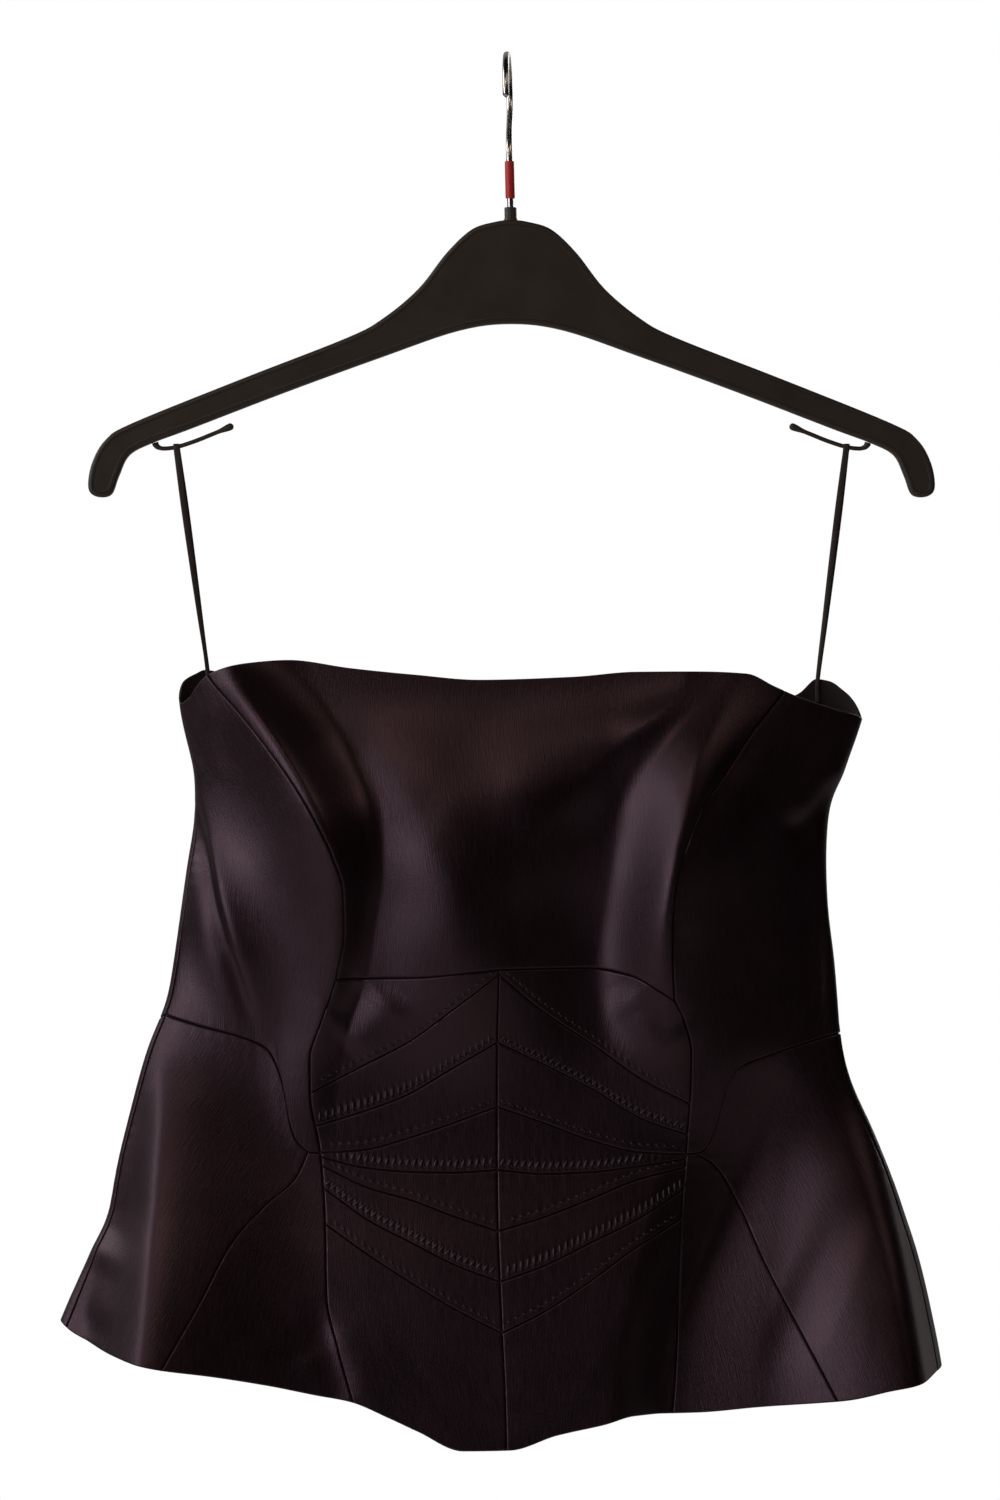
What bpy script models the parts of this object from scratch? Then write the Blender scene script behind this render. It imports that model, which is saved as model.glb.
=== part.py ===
# Strapless satin corset top with a short peplum, hung by two ribbon loops from a plastic hanger.
# Metres, +Z up, front towards -Y. The origin is the inner top of the hook, on the rail.
import math
import bmesh
import bpy
import numpy as np

mm = 0.001

# Driving dimensions, in millimetres
clothThick = 1.6
seamGap = 0.4
hangerThick = 11.0
hangerOffset = 2.3
hangerEdge = 1.3
wireRadius = 1.65
bightRadius = 20.0
hookLean = 0.023
hookTurn = math.radians(3)
bossTop = -76.0
bossRadius = 3.1
fingerRadius = 1.2
fingerTip = 1.75
ribbonWide = 3.2
ribbonThick = 0.8
crestEase = 0.10
foldFade = 0.42

# Sections across the garment, top to bottom: height of the section, its left and right
# edge, and how far the cloth stands forward and back of the hanger's plane.
sectionNames = ("height", "left", "right", "front", "back")
sections = [
    (-300, -168.2, 188.0, 19, 24),
    (-327, -167.4, 183.7, 23, 25),
    (-347, -163.4, 177.6, 28, 26),
    (-367, -158.8, 170.0, 33, 26),
    (-382, -159.6, 164.4, 35, 26),
    (-406, -162.4, 162.6, 35, 25),
    (-431, -165.8, 163.4, 32, 24),
    (-458, -169.6, 166.7, 28, 23),
    (-480, -173.3, 168.5, 25, 22),
    (-501, -182.2, 170.3, 23, 21),
    (-521, -188.1, 175.1, 22, 21),
    (-541, -193.2, 184.5, 22, 21),
    (-558, -197.5, 191.6, 23, 22),
    (-577, -201.1, 199.0, 26, 25),
    (-589, -202.8, 202.8, 28, 27),
    (-603, -210.0, 207.7, 31, 30),
    (-621, -218.6, 212.5, 34, 34),
    (-642, -227.5, 217.1, 37, 37),
    (-663, -234.6, 221.2, 39, 40),
    (-715, -249.0, 228.0, 43, 44),
]

# The largest folds. Each has the shape of its crest, from 0.5 for a sharp one to 2 for a
# round one, and rows of height, where it lies across, how far it rises, and how far it runs
# out to the left and to the right of its line.
foldNames = ("height", "across", "rise", "leftReach", "rightReach")
frontFolds = {
    "leftCupCrest": (0.6, [
        (-305, -140, 10, 38, 38),
        (-322, -131, 18, 44, 40),
        (-350, -111.5, 26, 52, 36),
        (-383, -95, 26, 60, 32),
        (-402, -89, 24, 62, 28),
        (-421, -85, 20, 58, 23),
        (-443, -85, 16, 50, 19),
        (-466, -87, 12, 42, 17),
        (-489, -92.5, 8, 36, 15),
        (-519, -98, 4, 30, 13),
        (-560, -98, 0, 26, 12),
    ]),
    "leftCupLip": (0.9, [
        (-372, -155, 0, 10, 38),
        (-398, -152, 3, 13, 46),
        (-416, -149, 7, 17, 48),
        (-434, -145, 9, 22, 49),
        (-450, -140, 9, 28, 48),
        (-464, -135, 7, 31, 44),
        (-479, -129, 4, 34, 38),
        (-500, -122, 0, 36, 32),
    ]),
    "rightCupCrest": (0.5, [
        (-305, 118, 2, 66, 56),
        (-334, 107, 9, 60, 56),
        (-352, 98, 15, 48, 57),
        (-374, 93, 19, 36, 58),
        (-393, 89.5, 22, 31, 58),
        (-412, 86, 24, 29, 55),
        (-437, 82, 23, 29, 50),
        (-455, 80.5, 20, 31, 49),
        (-472, 81, 16, 34, 50),
        (-490, 85, 11, 40, 50),
        (-515, 88, 6, 50, 50),
        (-560, 90, 0, 54, 50),
    ]),
    "rightCupLip": (1.8, [
        (-372, 162, 0, 36, 14),
        (-392, 162, -2, 40, 12),
        (-418, 160, -4, 42, 11),
        (-437, 158.5, -5, 43, 10),
        (-458, 158, -5, 45, 10),
        (-490, 158, -3, 48, 10),
        (-520, 160, 0, 48, 12),
    ]),
    "centreKeel": (1.4, [
        (-322, 90, 2, 90, 16),
        (-345, 60, 6, 84, 26),
        (-366, 37, 6, 72, 34),
        (-390, 14, 5, 62, 40),
        (-430, -4, 5, 54, 48),
        (-458, -8, 6, 54, 54),
        (-505, -12, 3, 70, 66),
        (-550, -8, 0, 74, 70),
    ]),
    "leftPanelFold": (1.6, [
        (-325, -62, 0, 34, 60),
        (-360, -50, 3, 32, 52),
        (-400, -36, 7, 36, 40),
        (-440, -28, 9, 48, 34),
        (-470, -28, 7, 58, 40),
        (-530, -32, 0, 66, 46),
    ]),
    "rightPanelHollow": (1.8, [
        (-330, 50, 0, 50, 46),
        (-365, 48, -4, 50, 44),
        (-400, 43, -7, 50, 42),
        (-440, 40, -8, 48, 38),
        (-470, 42, -6, 42, 32),
        (-520, 46, 0, 40, 30),
    ]),
    "leftPeplumCrest": (0.8, [
        (-500, -175, 0, 16, 44),
        (-530, -175, 6, 18, 58),
        (-560, -176, 12, 22, 72),
        (-590, -178, 18, 26, 82),
        (-640, -182, 26, 34, 92),
        (-690, -188, 33, 42, 102),
    ]),
    "rightPeplumHollow": (0.9, [
        (-496, 138, 0, 34, 20),
        (-530, 131, -8, 44, 42),
        (-560, 121, -14, 44, 58),
        (-590, 110, -19, 40, 72),
        (-620, 97, -22, 34, 86),
        (-671, 81, -23, 28, 102),
        (-710, 76, -22, 26, 108),
    ]),
    "rightPeplumWave": (0.6, [
        (-530, 180, 0, 36, 9),
        (-560, 188, 6, 48, 10),
        (-600, 198, 14, 62, 13),
        (-640, 205, 23, 74, 17),
        (-700, 214, 31, 84, 21),
    ]),
    "rightPeplumCrease": (2, [
        (-570, 175, 0, 14, 14),
        (-594, 169, -1.8, 14, 16),
        (-620, 158, -2.4, 15, 17),
        (-647, 146, -2.2, 16, 18),
        (-672, 138, 0, 16, 18),
    ]),
    "frontPoint": (2, [
        (-590, -4, 0, 70, 70),
        (-650, -3, -2, 74, 74),
        (-710, -2, -4, 80, 80),
    ]),
}
backFolds = {
    "leftBackHollow": (2.0, [
        (-320, -70, 0, 50, 50),
        (-400, -74, -4, 52, 52),
        (-500, -80, -3, 50, 50),
        (-560, -84, 0, 46, 46),
    ]),
    "rightBackHollow": (2.0, [
        (-320, 84, 0, 50, 50),
        (-410, 80, -5, 52, 52),
        (-500, 84, -2, 50, 50),
        (-560, 86, 0, 46, 46),
    ]),
    "leftBackWave": (2.0, [
        (-560, -92, 0, 40, 40),
        (-620, -100, 6, 44, 44),
        (-700, -110, 10, 50, 50),
    ]),
    "rightBackWave": (2.0, [
        (-560, 96, 0, 40, 40),
        (-620, 102, 7, 44, 44),
        (-700, 112, 10, 50, 50),
    ]),
}

# Top edge and hem, by how far across and how high. The front runs left to right.
frontRim = [
    (-165.4, -328.8), (-160.8, -325.8), (-157.3, -320.7), (-151.4, -314.6), (-130, -308.6),
    (-110, -307.1), (-78, -311.4), (-46, -314.7), (-14, -317.3), (33, -315.8), (65, -313.2),
    (97, -313.0), (121, -314.0), (135, -320.3), (148, -325.9), (170, -332.9), (180.5, -336.4),
]
backRim = [
    (172, -322.7), (164.4, -317.6), (157.8, -316.6), (149, -324), (100, -338), (0, -345),
    (-75, -333), (-130, -318), (-154.2, -312), (-159, -314), (-164.6, -317.6),
]
frontHem = [
    (-227, -642.3), (-215, -650.0), (-200, -657.0), (-178, -662.7), (-149, -666.9),
    (-120, -672.1), (-97, -677.0), (-79, -680.4), (-60, -688.3), (-45, -695.2), (-22, -705),
    (1.5, -704.6), (25, -697.2), (48, -692.1), (64, -688.2), (80, -688.0), (97, -687.4),
    (126, -684.4), (156, -681.7), (171, -680.0), (193, -674.8), (209, -671.4), (218, -667.0),
]
backHem = [(190, -660), (100, -654), (0, -652), (-100, -648), (-195, -643)]

# Seams down the front: height and place across
princessLeft = [
    (-300, -158), (-314.6, -151), (-332.5, -135.6), (-351.2, -120.7), (-371, -106.4),
    (-389, -95.8), (-406, -87.7), (-423, -82.7), (-443, -82.2), (-461, -85), (-470, -87),
    (-491, -94.5), (-509, -99.8), (-529, -99.5), (-545, -96.5), (-557, -94.5), (-589, -92),
    (-629, -91), (-654, -85.5), (-680, -78), (-700, -72),
]
princessRight = [
    (-310, 149), (-323, 140), (-342.6, 124.7), (-369.4, 107.3), (-381.4, 98.7), (-396, 92.7),
    (-409, 88.1), (-430, 84.4), (-454, 83.7), (-477, 84.5), (-489, 89.5), (-506, 93.2),
    (-523, 93), (-543, 91.6), (-559, 90.6), (-589, 88.2), (-628, 87), (-667, 85.4), (-700, 82.6),
]
centreFront = [
    (-440, -3.6), (-463, -4.1), (-500, -5), (-529, -5.1), (-565, -5.1), (-595, -4.6),
    (-620, -3.6), (-645, -2.6), (-680, -1), (-720, 0),
]
# Side seams: height, and how far round from the garment's edge in degrees, to the front
sideLeft = [
    (-300, -24), (-320, -22), (-350, -13), (-381, 0), (-400, 7), (-440, 9), (-480, 9),
    (-520, 9), (-560, 8), (-600, 9), (-645, 11), (-700, 12),
]
sideRight = [
    (-300, -33), (-320, -31), (-360, -24), (-420, -14), (-470, -5), (-504, 4), (-530, 9),
    (-560, 8), (-600, 9), (-670, 9), (-700, 9),
]

# Waist seams and peplum diagonals, from the side inwards
waistLeft = [
    (-172.5, -486.9), (-155.6, -492.3), (-134.9, -497.7), (-121.5, -503.8), (-116.3, -512.5),
    (-113, -523.3), (-109.4, -543.0), (-106.2, -550.8), (-100.8, -556.0),
]
waistRight = [
    (169.2, -496.2), (151, -501.2), (133, -507.2), (117.5, -513.6), (111.6, -522.4),
    (108.4, -534), (104.8, -546.5), (99.6, -555.6), (95.8, -557.0),
]
diagonalLeft = [
    (-100.8, -556.0), (-107, -569), (-121.8, -582.1), (-137.7, -599.2), (-155.3, -631.4),
    (-173.5, -663.4),
]
diagonalRight = [
    (95.8, -557.0), (104.5, -562.5), (118.4, -585.1), (129.5, -610.2), (147.1, -643.9),
    (166.6, -680.2),
]

# Fan of seams on the pointed front, a row for each. The columns are the seam's height at
# the princess seam, a quarter, half and three quarters of the way, and at the centre front.
fanLeft = [
    (-468.4, -467.6, -467.2, -465.3, -463.2),
    (-526.0, -513.7, -501.0, -482.7, -465.5),
    (-542.7, -536.0, -527.6, -514.0, -500.0),
    (-556.2, -554.6, -548.8, -541.3, -532.8),
    (-558.4, -563.7, -565.6, -566.0, -564.7),
    (-562.6, -573.5, -579.8, -588.0, -595.4),
    (-574.0, -590.0, -601.3, -612.4, -620.7),
    (-592.0, -607.5, -621.8, -635.2, -646.5),
]
fanRight = [
    (-479.0, -466.0, -462.6, -462.9, -463.2),
    (-531.6, -519.0, -501.8, -484.6, -465.5),
    (-547.2, -538.7, -524.4, -511.8, -500.0),
    (-557.2, -555.8, -550.0, -541.2, -532.8),
    (-559.4, -563.0, -565.8, -566.6, -564.7),
    (-563.6, -569.6, -579.4, -588.4, -595.4),
    (-575.0, -590.0, -601.4, -612.5, -620.7),
    (-589.6, -604.0, -620.6, -635.2, -646.5),
]
bandRows = (4, 2, 2, 1, 1, 2, 2, 5)
upperRows = 16
bandColumns = 10
waistColumns = 12
innerColumns = 5
backColumns = 12
backWaist = -500.0


def column(rows, names, name):
    """One named column of a table."""
    return np.array([row[names.index(name)] for row in rows], float)


def smooth(at, known, values):
    """Monotone cubic through a table: slopes are harmonic means, so nothing overshoots."""
    known, values, at = np.asarray(known, float), np.asarray(values, float), np.asarray(at, float)
    if known[0] > known[-1]:
        known, values = known[::-1], values[::-1]
    step = np.diff(known)
    rate = np.diff(values) / step
    slope = np.empty_like(values)
    slope[0], slope[-1] = rate[0], rate[-1]
    same = rate[:-1] * rate[1:] > 0
    heavy, light = 2 * step[1:] + step[:-1], step[1:] + 2 * step[:-1]
    whole = np.where(same, rate[:-1], 1.0), np.where(same, rate[1:], 1.0)
    mean = (heavy + light) / (heavy / whole[0] + light / whole[1])
    slope[1:-1] = np.where(same, mean, 0.0)
    i = np.clip(np.searchsorted(known, at) - 1, 0, len(step) - 1)
    t = np.clip((at - known[i]) / step[i], 0.0, 1.0)
    return (
        values[i] * (1 + 2 * t) * (1 - t) ** 2
        + slope[i] * step[i] * t * (1 - t) ** 2
        + values[i + 1] * t * t * (3 - 2 * t)
        - slope[i + 1] * step[i] * t * t * (1 - t)
    )


def section(height, name):
    return smooth(height, column(sections, sectionNames, "height"),
                  column(sections, sectionNames, name))


def spread(height):
    """Middle and half width of the section at a height."""
    left, right = section(height, "left"), section(height, "right")
    return (left + right) / 2, (right - left) / 2 - clothThick / 2


def turn_of(across, height, behind=False):
    """Angle round the ring: 0 at the left edge, a half turn at the right edge."""
    middle, half = spread(height)
    angle = np.arccos(np.clip(-(across - middle) / half, -1, 1))
    return 2 * math.pi - angle if behind else angle


def eased(share):
    """Smooth step from 0 to 1."""
    t = np.clip(share, 0, 1)
    return t * t * (3 - 2 * t)


def hump(share, crest):
    """One flank of a fold: a cubic from 1 to 0 with a level foot and an eased crest."""
    s = np.sqrt(share * share + crestEase ** 2) - crestEase
    s = np.clip(s / (math.hypot(1, crestEase) - crestEase), 0, 1)
    return (1 - s) ** 2 * (1 + crest * s)


def folded(folds, across, height):
    """Sum of the folds: each a hump across, of its own height and reach."""
    total = np.zeros(np.broadcast(across, height).shape)
    for crest, rows in folds.values():
        known = column(rows, foldNames, "height")
        at = np.clip(height, min(known), max(known))
        away = across - smooth(at, known, column(rows, foldNames, "across"))
        reach = np.where(away < 0, smooth(at, known, column(rows, foldNames, "leftReach")),
                         smooth(at, known, column(rows, foldNames, "rightReach")))
        rise = smooth(at, known, column(rows, foldNames, "rise"))
        total = total + rise * hump(np.abs(away) / reach, crest)
    return total


def surface(turn, height):
    """Middle of the cloth: an ellipse on each side of the hanger's plane, and the folds."""
    middle, half = spread(height)
    across = middle - half * np.cos(turn)
    depth = np.sin(turn)
    fade = eased(np.abs(depth) / foldFade)
    forward = depth * section(height, "front") + fade * folded(frontFolds, across, height)
    backward = -depth * section(height, "back") + fade * folded(backFolds, across, height)
    return np.stack([across, np.where(depth >= 0, -forward, backward), height + 0 * turn], -1)


def outward(turn, height):
    """Unit normal of the cloth, from small steps round and up."""
    round_, up = 2e-3, 0.2
    along = surface(turn + round_, height) - surface(turn - round_, height)
    rise = surface(turn, height + up) - surface(turn, height - up)
    normal = np.cross(along, rise)
    return normal / np.linalg.norm(normal, axis=-1, keepdims=True)


def edge_height(turn, front, back):
    """Height of the top edge or the hem at an angle round the ring."""
    ahead = [(float(turn_of(x, z)), z) for x, z in front]
    behind = [(float(turn_of(x, z, behind=True)), z) for x, z in back]
    ring = sorted(ahead + behind)
    ring = [(a - 2 * math.pi, z) for a, z in ring[-4:]] + ring
    ring = ring + [(a + 2 * math.pi, z) for a, z in ring[4:10]]
    return smooth(turn, [a for a, _ in ring], [z for _, z in ring])


def rim(turn):
    return edge_height(turn, frontRim, backRim)


def hem(turn):
    return edge_height(turn, frontHem, backHem)


def seam_turn(table, height):
    """Angle of a front seam at a height."""
    at = np.asarray(height, float)
    return turn_of(smooth(at, [z for z, _ in table], [x for _, x in table]), at)


def side_turn(table, height, right=False):
    angle = np.radians(smooth(height, [z for z, _ in table], [a for _, a in table]))
    return math.pi - angle if right else angle


def meet(seam, edge, start):
    """Where a seam meets the top edge or the hem."""
    height = start
    for _ in range(40):
        height = 0.5 * height + 0.5 * float(edge(seam(height)))
    return float(height)


def run(seam, top, low, shares):
    """Points down a seam, as rows of angle and height."""
    height = top + (low - top) * np.asarray(shares)
    return np.stack([seam(height), height], -1)


def along_edge(edge, start, end, shares):
    turn = start + (end - start) * np.asarray(shares)
    return np.stack([turn, edge(turn)], -1)


def even(count):
    return np.linspace(0, 1, count + 1)


def route(points, shares):
    """A smooth line through points across the front, read off at shares of its length."""
    points = np.array(points, float)
    known = np.concatenate([[0], np.cumsum(np.linalg.norm(np.diff(points, axis=0), axis=1))])
    at = known[-1] * np.asarray(shares)
    across, height = smooth(at, known, points[:, 0]), smooth(at, known, points[:, 1])
    return np.stack([turn_of(across, height), height], -1)


def coons(top, low, left, right):
    """A grid of angle and height inside four sides that share their corners."""
    rows, columns = len(left), len(top)
    v, u = np.linspace(0, 1, rows)[:, None, None], np.linspace(0, 1, columns)[None, :, None]
    sides = (1 - u) * left[:, None] + u * right[:, None]
    ends = (1 - v) * top[None] + v * low[None]
    corners = ((1 - u) * (1 - v) * top[0] + u * (1 - v) * top[-1]
               + (1 - u) * v * low[0] + u * v * low[-1])
    return sides + ends - corners


def shrunk(grid, gap):
    """Draws the four sides in by half a seam's gap, square to each side on the cloth."""
    grid = grid.copy()
    for side in range(4):
        turned = np.rot90(grid, side)
        turn, height = turned[0, :, 0], turned[0, :, 1]
        place = surface(turned[:2, :, 0], turned[:2, :, 1])
        line = np.gradient(place[0], axis=0)
        line /= np.linalg.norm(line, axis=1, keepdims=True)
        inward = place[1] - place[0]
        square = inward - (inward * line).sum(1, keepdims=True) * line
        step = square / np.linalg.norm(square, axis=1, keepdims=True) * gap
        round_ = (surface(turn + 1e-3, height) - surface(turn - 1e-3, height)) / 2e-3
        rise = (surface(turn, height + 0.1) - surface(turn, height - 0.1)) / 0.2
        # The step as a change of angle and height: two equations in the cloth's own plane
        a, b, c = (round_ * round_).sum(1), (round_ * rise).sum(1), (rise * rise).sum(1)
        p, q = (round_ * step).sum(1), (rise * step).sum(1)
        turned[0, :, 0] += (c * p - b * q) / (a * c - b * b)
        turned[0, :, 1] += (a * q - b * p) / (a * c - b * b)
    return grid


def material(name, colour, roughness, metallic=0.0, sheen=0.0):
    made = bpy.data.materials.get(name) or bpy.data.materials.new(name)
    made.use_nodes = True
    shader = made.node_tree.nodes["Principled BSDF"]
    shader.inputs["Base Color"].default_value = (*colour, 1)
    shader.inputs["Roughness"].default_value = roughness
    shader.inputs["Metallic"].default_value = metallic
    shader.inputs["Sheen Weight"].default_value = sheen
    return made


def satin():
    return material("satin", (0.030, 0.020, 0.024), 0.42, sheen=0.3)


def solid(name, points, faces, look, flat=True):
    """One closed object from points in millimetres."""
    mesh = bpy.data.meshes.new(name)
    mesh.from_pydata([tuple(p) for p in np.asarray(points) * mm], [], faces)
    work = bmesh.new()
    work.from_mesh(mesh)
    bmesh.ops.triangulate(work, faces=work.faces, quad_method="FIXED")
    bmesh.ops.recalc_face_normals(work, faces=work.faces)
    work.to_mesh(mesh)
    work.free()
    if not flat:
        mesh.shade_smooth()
        mesh.set_sharp_from_angle(angle=math.radians(40))
    mesh.materials.append(look)
    made = bpy.data.objects.new(name, mesh)
    bpy.context.collection.objects.link(made)
    return made


def panel(name, grid):
    """A cloth wall on a grid of angle and height, with its thickness half each way."""
    grid = shrunk(grid, seamGap / 2)
    turn, height = grid[..., 0], grid[..., 1]
    middle, normal = surface(turn, height), outward(turn, height)
    rows, columns = turn.shape
    outer, inner = middle + normal * clothThick / 2, middle - normal * clothThick / 2
    points = np.concatenate([outer.reshape(-1, 3), inner.reshape(-1, 3)])
    count = rows * columns
    faces = []
    for r in range(rows - 1):
        for c in range(columns - 1):
            a, b = r * columns + c, (r + 1) * columns + c
            faces.append((a, b, b + 1, a + 1))
            faces.append((count + a, count + a + 1, count + b + 1, count + b))
    border = ([r * columns for r in range(rows)]
              + [(rows - 1) * columns + c for c in range(1, columns)]
              + [r * columns + columns - 1 for r in range(rows - 2, -1, -1)]
              + [c for c in range(columns - 2, 0, -1)])
    for a, b in zip(border, border[1:] + border[:1]):
        faces.append((a, count + a, count + b, b))
    return solid(name, points, faces, satin(), flat=False)


def fan_seam(tables, row, share):
    """Points of a seam across the pointed front, from the princess seam to the centre."""
    height = smooth(share, [0, 0.25, 0.5, 0.75, 1.0], tables["fan"][row])
    outer = smooth(height, [z for z, _ in tables["princess"]], [x for _, x in tables["princess"]])
    centre = smooth(height, [z for z, _ in centreFront], [x for _, x in centreFront])
    across = (1 - share) * outer + share * centre
    return np.stack([turn_of(across, height), height], -1)


halves = {
    "left": {"princess": princessLeft, "side": sideLeft, "fan": fanLeft,
             "waist": waistLeft, "diagonal": diagonalLeft},
    "right": {"princess": princessRight, "side": sideRight, "fan": fanRight,
              "waist": waistRight, "diagonal": diagonalRight},
}
frontShares = even(bandColumns) ** 1.35
centreBack = 1.5 * math.pi


def centre_seam(height):
    return seam_turn(centreFront, height)


def princess_seam(side):
    return lambda height: seam_turn(halves[side]["princess"], height)


def side_seam(side):
    return lambda height: side_turn(halves[side]["side"], height, side == "right")


def front_bands(side):
    """The bands of the pointed front. Gives the princess seam's points, band by band."""
    tables, princess = halves[side], princess_seam(side)
    edges = [fan_seam(tables, row, frontShares) for row in range(len(tables["fan"]))]
    outer, inner = princess(meet(princess, hem, -682)), centre_seam(meet(centre_seam, hem, -703))
    lowest = outer + (inner - outer) * frontShares
    edges.append(np.stack([lowest, hem(lowest)], -1))
    runs = []
    for row, (high, low) in enumerate(zip(edges, edges[1:])):
        steps = even(bandRows[row])
        runs.append(run(princess, high[0, 1], low[0, 1], steps))
        grid = coons(high, low, runs[-1], run(centre_seam, high[-1, 1], low[-1, 1], steps))
        panel(f"front_band_{row + 1}_{side}", grid)
    return edges[0], runs


def side_panels(side, above, below):
    """The cup and side in one panel, and the peplum's two either side of the diagonal."""
    tables, flank, corner = halves[side], side_seam(side), above[-1]
    waist = route(tables["waist"], even(waistColumns))
    waist[0, 0] = flank(waist[0, 1])
    flankAbove = run(flank, meet(flank, rim, -320), waist[0, 1], even(len(above) - 1))
    top = along_edge(rim, flankAbove[0, 0], above[0, 0], even(waistColumns + 1))
    panel(f"side_front_{side}", coons(top, np.concatenate([waist, [corner]]), flankAbove, above))

    drop = (below[:, 1] - below[0, 1]) / (below[-1, 1] - below[0, 1])
    diagonal = route(tables["diagonal"], drop)
    diagonal[0] = waist[-1]
    diagonal[-1, 1] = hem(diagonal[-1, 0])
    flankBelow = run(flank, waist[0, 1], meet(flank, hem, -650), even(len(below) - 1) ** 1.2)
    outerHem = along_edge(hem, flankBelow[-1, 0], diagonal[-1, 0], even(waistColumns))
    innerHem = along_edge(hem, diagonal[-1, 0], below[-1, 0], even(innerColumns))
    innerTop = waist[-1] + (corner - waist[-1]) * even(innerColumns)[:, None]
    panel(f"peplum_outer_{side}", coons(waist, outerHem, flankBelow, diagonal))
    panel(f"peplum_inner_{side}", coons(innerTop, innerHem, diagonal, below))
    return flankAbove, flankBelow


def back_panels(side, above, below):
    """The back above and below its waist seam, from the side seam to the centre back."""
    around = [0.0 if side == "right" else 2 * math.pi, 0.0]
    above, below, steps = above + around, below + around, even(backColumns) ** 1.5
    top, low = float(rim(centreBack)), float(hem(centreBack))
    middleAbove = run(lambda z: centreBack + 0 * z, top, backWaist, even(len(above) - 1))
    middleBelow = run(lambda z: centreBack + 0 * z, backWaist, low, even(len(below) - 1) ** 1.2)
    turn, height = above[-1]
    waist = np.stack([turn + (centreBack - turn) * steps,
                      height + (backWaist - height) * np.sin(math.pi / 2 * steps)], -1)
    topEdge = along_edge(rim, above[0, 0], centreBack, steps)
    lowEdge = along_edge(hem, below[-1, 0], centreBack, steps)
    panel(f"back_bodice_{side}", coons(topEdge, waist, above, middleAbove))
    panel(f"back_peplum_{side}", coons(waist, lowEdge, below, middleBelow))


def cloth():
    """Every panel of the garment, each with its sides on its seams."""
    unders, uppers = {}, {}
    for side in halves:
        princess = princess_seam(side)
        unders[side], runs = front_bands(side)
        uppers[side] = run(princess, meet(princess, rim, -315), unders[side][0, 1], even(upperRows))
        # The waist seam ends where the fourth seam of the fan begins
        above = np.concatenate([uppers[side]] + [r[1:] for r in runs[:3]])
        below = np.concatenate([runs[3]] + [r[1:] for r in runs[4:]])
        back_panels(side, *side_panels(side, above, below))

    middle = float(turn_of(-4.0, -317.0))
    start, end = uppers["left"][0, 0], uppers["right"][0, 0]
    across = np.concatenate([start + (middle - start) * frontShares,
                             (end + (middle - end) * frontShares)[::-1][1:]])
    under = np.concatenate([unders["left"], unders["right"][::-1][1:]])
    top = np.stack([across, rim(across)], -1)
    panel("bodice_front", coons(top, under, uppers["left"], uppers["right"]))


# Hanger outline, right half from the top of the dome round to the middle below
hangerOutline = [
    (0, -82.7), (8.7, -83.7), (20.4, -87.6), (33.1, -99.5), (47.3, -117.6), (65.2, -132.6),
    (83.5, -142.5), (138, -163.8), (192.9, -186.0), (206.4, -194.4), (213.3, -206.1),
    (215.3, -218.4), (211.7, -223.1), (203.8, -222.3), (199.8, -212.8), (194.5, -202.2),
    (183, -196), (163.4, -188.7), (114.5, -169.9), (65.7, -152.1), (27, -138.8), (0, -135.3),
]
rimWidth = 2.2
rimDepth = 0.9
socketDepth = 9.0


def closed_outline(half, between):
    """Both halves of an outline as one closed smooth line through all of its points."""
    points = np.array(half + [(-x, z) for x, z in half[-2:0:-1]], float)
    before, after = np.roll(points, 1, axis=0), np.roll(points, -1, axis=0)
    following = np.roll(points, -2, axis=0)
    steps = np.linspace(0, 1, between, endpoint=False)[:, None, None]
    curve = 0.5 * (2 * points + (after - before) * steps
                   + (2 * before - 5 * points + 4 * after - following) * steps ** 2
                   + (3 * points - before - 3 * after + following) * steps ** 3)
    return curve.transpose(1, 0, 2).reshape(-1, 2)


def cylinder(name, radius, top, low, sides=20):
    """An upright round bar, in millimetres."""
    angle = np.arange(sides) * 2 * math.pi / sides
    ring = np.stack([radius * np.cos(angle), radius * np.sin(angle), 0 * angle], -1)
    points = np.concatenate([ring + [0, 0, low], ring + [0, 0, top]])
    faces = [tuple(range(sides))[::-1], tuple(range(sides, 2 * sides))]
    faces += [(i, (i + 1) % sides, sides + (i + 1) % sides, sides + i) for i in range(sides)]
    return solid(name, points, faces, plastic(), flat=False)


def plastic():
    return material("hanger_plastic", (0.010, 0.009, 0.009), 0.35)


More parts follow.
